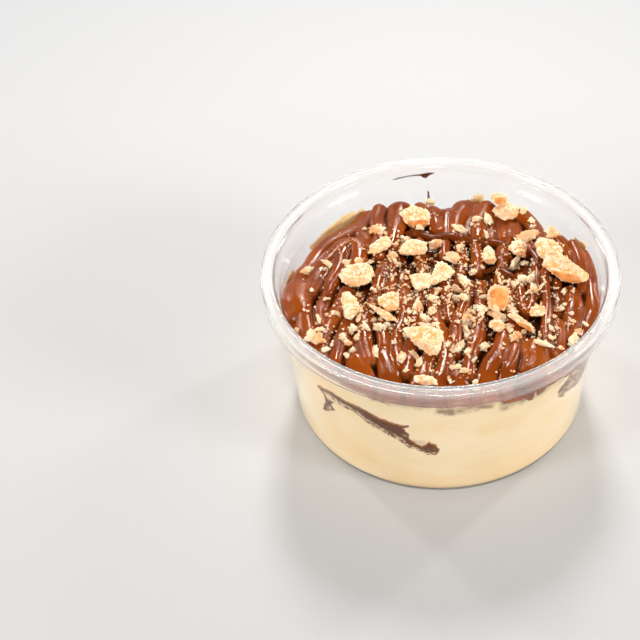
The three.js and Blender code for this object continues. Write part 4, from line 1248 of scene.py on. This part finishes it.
smallPieces = [  # middle on the chart, length, width, turn, how browned
    (-23, 29.4, 5.2, 3.4, -40, 0.5), (16.4, 36.4, 5.4, 3.2, 80, 0), (12.6, 35.8, 3.2, 2.4, -30, 0),
    (11.4, 33.8, 2, 1.6, 0, 0.1), (7.4, 31.4, 5.6, 3, -50, 0.1), (16.1, 29.8, 4.2, 1.8, -80, 0),
    (32, 34.4, 2.8, 2.2, 50, 0.2), (30, 26.6, 6.4, 4.6, 30, 0.35), (34, 29, 2, 1.8, 0, 0.6),
    (39.8, 28.6, 5.4, 3.6, -20, 0.15), (29.2, 39, 3.4, 2.2, 70, 0), (25.6, 14.6, 6.4, 2.4, 65, 0.6),
    (28.6, 14.8, 2, 1.8, 0, 0), (6.6, 22.4, 2.6, 1.8, -30, 0), (4, 16, 6.4, 4.4, -55, 0.4),
    (-2, 24, 4.2, 3.4, 20, 0.4), (-45.4, 7.8, 3.8, 3.2, 10, 0.1), (-38.4, 12.6, 3.4, 1.8, -25, 0),
    (-32.2, 14.2, 3.2, 3, 40, 0), (-28.2, 14, 2, 2.6, 0, 0.5), (-12.4, 27.4, 3.8, 3, -20, 0.1),
    (-7.8, 32, 2.6, 2.2, 0, 0), (-17, 18.2, 4.6, 3, -50, 0), (-15, 14, 3.8, 3, -60, 0.1),
    (-15.8, 22.8, 1.8, 2, 0, 0.8), (-40, -23.8, 5, 4.8, 80, 0.3), (-39.4, -14.8, 4.4, 1.3, -72, 0.1),
    (-38.4, -19.4, 2.4, 1.8, 0, 0), (-28.5, -18, 4.8, 3, -75, 0), (-31.4, -22.4, 2.6, 2.2, 20, 0),
    (-29.4, -23.8, 2.4, 2, -60, 0.5), (-26.4, -22, 2.2, 1.4, -80, 0), (-42.8, -1.4, 2, 1.2, 80, 0),
    (-27, -2, 2.2, 1.6, -40, 0), (-26.8, -7.4, 2.4, 1.8, 40, 0), (-26.4, -14, 2.4, 1.4, 80, 0),
    (-23.8, -18.6, 3.2, 2, -60, 0.1), (-21.8, -13.6, 2, 1.8, 0, 0.4), (-19.6, -18.4, 3.8, 2.8, -30, 0),
    (-17.4, -17, 2.6, 1.4, -10, 0.6), (-20.6, -28.4, 4.2, 2.4, -75, 0.3),
    (-29.4, -29.8, 2.4, 1.6, -50, 0.1), (-36, -28, 2, 1.6, 0, 0), (-46, -19, 1.8, 1.4, 60, 0.1),
    (8.5, -13, 5.6, 4, 80, 0.75), (8, -18, 4.4, 2.2, -75, 0.1), (8.6, -21.2, 2.8, 2.2, 70, 0.5),
    (19.2, -11.6, 6, 4.8, -50, 0), (23.8, -9, 4.2, 2.2, -70, 0), (22.4, -16.2, 3.2, 2, -40, 0),
    (26.8, -19.2, 2, 1.8, 0, 0.6), (23.9, -22.2, 4, 3.2, -40, 0.5), (22.6, -18.8, 2.2, 1.8, 0, 0),
    (31.4, 0, 4, 2, -80, 0), (32, -6.2, 2, 1.6, 0, 0), (38.8, -9.2, 3, 1.8, 5, 0.6),
    (41.2, -0.6, 3, 1.8, 50, 0.2), (41.2, -6.8, 1.6, 1.3, 0, 0.6), (42.6, -11.8, 1.6, 1.1, 0, 0.1),
    (36.8, -12.6, 1.9, 1.6, 0, 0), (35.4, -19.6, 2.6, 1.6, -60, 0), (32, -19.2, 1.7, 1.2, 60, 0),
    (32.2, -21.4, 1.6, 1.1, 0, 0), (46.8, -16.4, 2.2, 1.2, -60, 0), (44, -20, 2, 1.8, 0, 0.6),
    (42.2, -24, 4.4, 3, 70, 0.05), (37.8, -28.8, 1.7, 1.2, -40, 0.5), (32.2, -26.8, 4.8, 2.2, -50, 0.2),
    (13.6, -25.8, 3.8, 2.4, 40, 0), (13.2, -0.6, 2.4, 1.6, 35, 0.7), (14, -3, 2.4, 1.2, 30, 0.2),
    (14, -8.6, 3.6, 2.8, -30, 0), (5.4, -2.8, 3, 2.2, 50, 0.1), (7.6, -4, 3.4, 2.4, -40, 0.1),
    (7.8, 5, 7.4, 3, -58, 0.1), (5.8, 1.4, 4.4, 2, -55, 0.3), (-7.6, -8, 4.6, 3, 70, 0.6),
    (-5.6, -12.8, 4.6, 3, -60, 0.6), (-3, -10.6, 2.8, 2.6, 0, 0.1), (-4.4, -15.8, 4.6, 1.8, -15, 0),
    (-1.6, -16.8, 2.4, 1.4, 0, 0.2), (6.8, -25.2, 2.6, 1.8, 70, 0.1), (5, -28, 3.2, 2, 0, 0.3),
    (8.6, -28.4, 3.6, 2, 40, 0.4), (2.2, -25.8, 2.6, 1.6, 40, 0.1), (4.8, -35, 3, 2.2, -10, 0),
    (7.6, -37.2, 2.8, 1.8, -20, 0.3), (10.8, -41.2, 1.8, 1.6, 0, 0), (-11.9, -32.4, 3.4, 2.8, 60, 0.3),
    (-8, -30, 4.2, 1.8, -60, 0.1), (-6.4, -33.4, 3.2, 1.8, 70, 0.4), (-14.4, -25.2, 2, 1.6, 0, 0),
    (-10.4, -37, 1.8, 1, 20, 0), (27.4, 5, 3.6, 2.6, 20, 0), (30.6, 6.4, 4.4, 2.8, 50, 0),
    (24.6, 3, 3.4, 2.2, -80, 0), (11, 9.6, 3.2, 2.2, 30, 0), (-4.2, 47.6, 3.6, 3, 0, 0.1),
    (-1, 0.8, 2.8, 2, 0, 0), (-2.6, -4.4, 2.6, 2, 0, 0), (-24, 15.4, 2, 1.6, 0, 0),
]
# the last share makes the pieces paler: partly their own tone, partly painted light
bitShape = {"templates": 10, "size": 4, "scale": 1.08, "height": 0.8, "rough": 1.5, "chips": 9, "paleAndPaintedLight": 0.3}
crumbs = {
    "medium": {"count": 300, "size": (1.1, 3.0), "lean": 1.6, "templates": 16, "grains": 5, "seed": 81},
    "fine": {"count": 1500, "size": (0.4, 1.5), "lean": 2.0, "templates": 10, "grains": 1, "seed": 82},
}
# its last entry makes the crumbs paler: partly their own tone, partly painted light
crumbSpread = {
    "clusterCount": 75, "clustered": 0.55, "spread": 2.6, "middle": (2, -3), "reach": (23, 21),
    "edge": 46.5, "back": 42, "paleAndPaintedLight": 0.7,
}


def lumpTemplates(count, size, firstSeed):
    templates = []
    for seed in range(firstSeed, firstSeed + count):
        rng = np.random.default_rng(seed)
        lump, ways = sphereWays(4)
        reach = np.full(len(ways), 0.7 * size)
        for _ in range(bitShape["chips"]):
            reach, _ = chipOff(ways, reach, rng.normal(size=3), rng.uniform(0.5, 0.88), 0.1)
        shaped = ways * reach[:, None]
        shaped = shaped / np.abs(shaped).max(0) * size * 0.5
        grainShade = roughen(lump, shaped, seed, bitShape["rough"], np.zeros(len(ways)))
        faces = np.array([list(f.vertices) for f in lump.data.polygons])
        templates.append((readPlaces(lump) / size, faces, grainShade))
        bpy.data.meshes.remove(lump.data)
    return templates


def grainTemplates(count, grains, firstSeed):  # clusters of angular grains, 20 faces each
    grain, ways = sphereWays(1)
    sides = np.array([list(f.vertices) for f in grain.data.polygons])
    bpy.data.meshes.remove(grain.data)
    templates = []
    for i in range(count):
        rng = np.random.default_rng(firstSeed + i)
        places, faces, grainShade = [], [], []
        for k in range(grains):
            size = 0.5 if grains == 1 else rng.uniform(0.2, 0.36)
            middle = np.zeros(3) if k == 0 else rng.normal(0, (0.27, 0.2, 0.14))
            lump = ways * rng.uniform(0.4, 1.25, (len(ways), 1)) * size * rng.uniform(0.7, 1.15, 3)
            places.append(lump @ randomTurn(rng).T + middle)
            faces.append(sides + k * len(ways))
            # painted shade: darker towards the underside of each grain
            grainShade.append(np.clip(0.3 - 0.7 * ways[:, 2] + rng.normal(0, 0.3, len(ways)), 0, 1))
        templates.append((np.vstack(places), np.vstack(faces), np.concatenate(grainShade)))
    return templates


def randomTurn(rng):
    q = rng.normal(size=4)
    return np.array(Quaternion(q / np.linalg.norm(q)).to_matrix())


def turnAbout(degrees, tilt, rng):
    lean = Euler(rng.normal(0, tilt, 3)).to_matrix()
    return np.array(lean @ Euler((0, 0, math.radians(degrees))).to_matrix())


def buildScatter(name, spots, templates, seed, paleAndPaintedLight, faceted):  # spots: place, sizes, turn, how browned
    rng = np.random.default_rng(seed)
    places, faces, crust, paintedShadeAndTone = [], [], [], []
    start = 0
    for place, sizes, turn, browned in spots:
        shape, sides, grainShade = templates[rng.integers(len(templates))]
        places.append(keepInside((shape * sizes) @ turn.T + place))
        faces.append(sides + start)
        way = rng.normal(size=3)
        side = smoothStep(shape @ way / np.linalg.norm(way), -0.15, 0.3)  # one side is browned more
        crust.append(np.clip((browned + 0.06) * (0.1 + 0.9 * side), 0, 0.7))
        # painted shade from the grains' creases and undersides, plus a random extra tone on the browned side
        paintedShadeAndTone.append(np.clip(grainShade * rng.uniform(0.1, 0.5) + side * rng.uniform(0, 0.6), 0, 1))
        start += len(shape)
    piece = meshPiece(name, np.vstack(places) * mm, np.vstack(faces))
    writeAttribute(piece, "crust", np.concatenate(crust))
    writeAttribute(piece, "paintedShadeAndTone", np.concatenate(paintedShadeAndTone))
    writeAttribute(piece, "paleAndPaintedLight", np.full(start, paleAndPaintedLight))
    finishPiece(piece, name, biscuitFinish, faceted=faceted)


def crumbSpots(rng, spec):
    c = crumbSpread
    centres = [rng.normal(c["middle"], c["reach"]) for _ in range(c["clusterCount"])]
    spots = []
    while len(spots) < spec["count"]:
        if rng.random() < c["clustered"]:
            x, y = rng.normal(centres[rng.integers(len(centres))], c["spread"])
        else:
            x, y = rng.normal(c["middle"], c["reach"])
        if math.hypot(x, y) > c["edge"] or y > c["back"]:
            continue
        size = spec["size"][0] + (spec["size"][1] - spec["size"][0]) * rng.random() ** spec["lean"]
        tone = rng.random()
        browned = 0.7 if tone > 0.92 else 0.3 if tone > 0.78 else 0.0
        sizes = size * rng.uniform((0.85, 0.7, 0.6), (1.2, 1.1, 1.0))
        spots.append(((x, y, float(fromMap(heightMap, x, y)) + size * 0.2), sizes, randomTurn(rng), browned))
    return spots


def listedSpots(rng):
    spots = []
    for x, y, length, width, turn, browned in smallPieces:
        level = levelAt(x, y) + biscuitShape["crestRise"]
        px, py, _ = fromChart(x, y, level)
        while math.hypot(px, py) + 0.4 * width > float(wallInside(level)) - 0.2:  # too near the wall
            level += 0.4
            px, py, _ = fromChart(x, y, level)
        height = bitShape["height"] * width
        pz = max(float(fromMap(heightMap, px, py)), level - 1.2) + height * 0.2
        sizes = np.array((length, width, height)) * bitShape["scale"]
        spots.append(((px, py, pz), sizes, turnAbout(turn, 0.15, rng), browned))
    return spots


bits = lumpTemplates(bitShape["templates"], bitShape["size"], 200)
buildScatter("biscuitBits", listedSpots(np.random.default_rng(83)), bits, 84, bitShape["paleAndPaintedLight"], False)
for kind, spec in crumbs.items():
    spots = crumbSpots(np.random.default_rng(spec["seed"]), spec)
    templates = grainTemplates(spec["templates"], spec["grains"], spec["seed"] * 10)
    buildScatter(f"crumbs{kind.capitalize()}", spots, templates, spec["seed"] + 10, crumbSpread["paleAndPaintedLight"], True)
print("scene: crumbs")
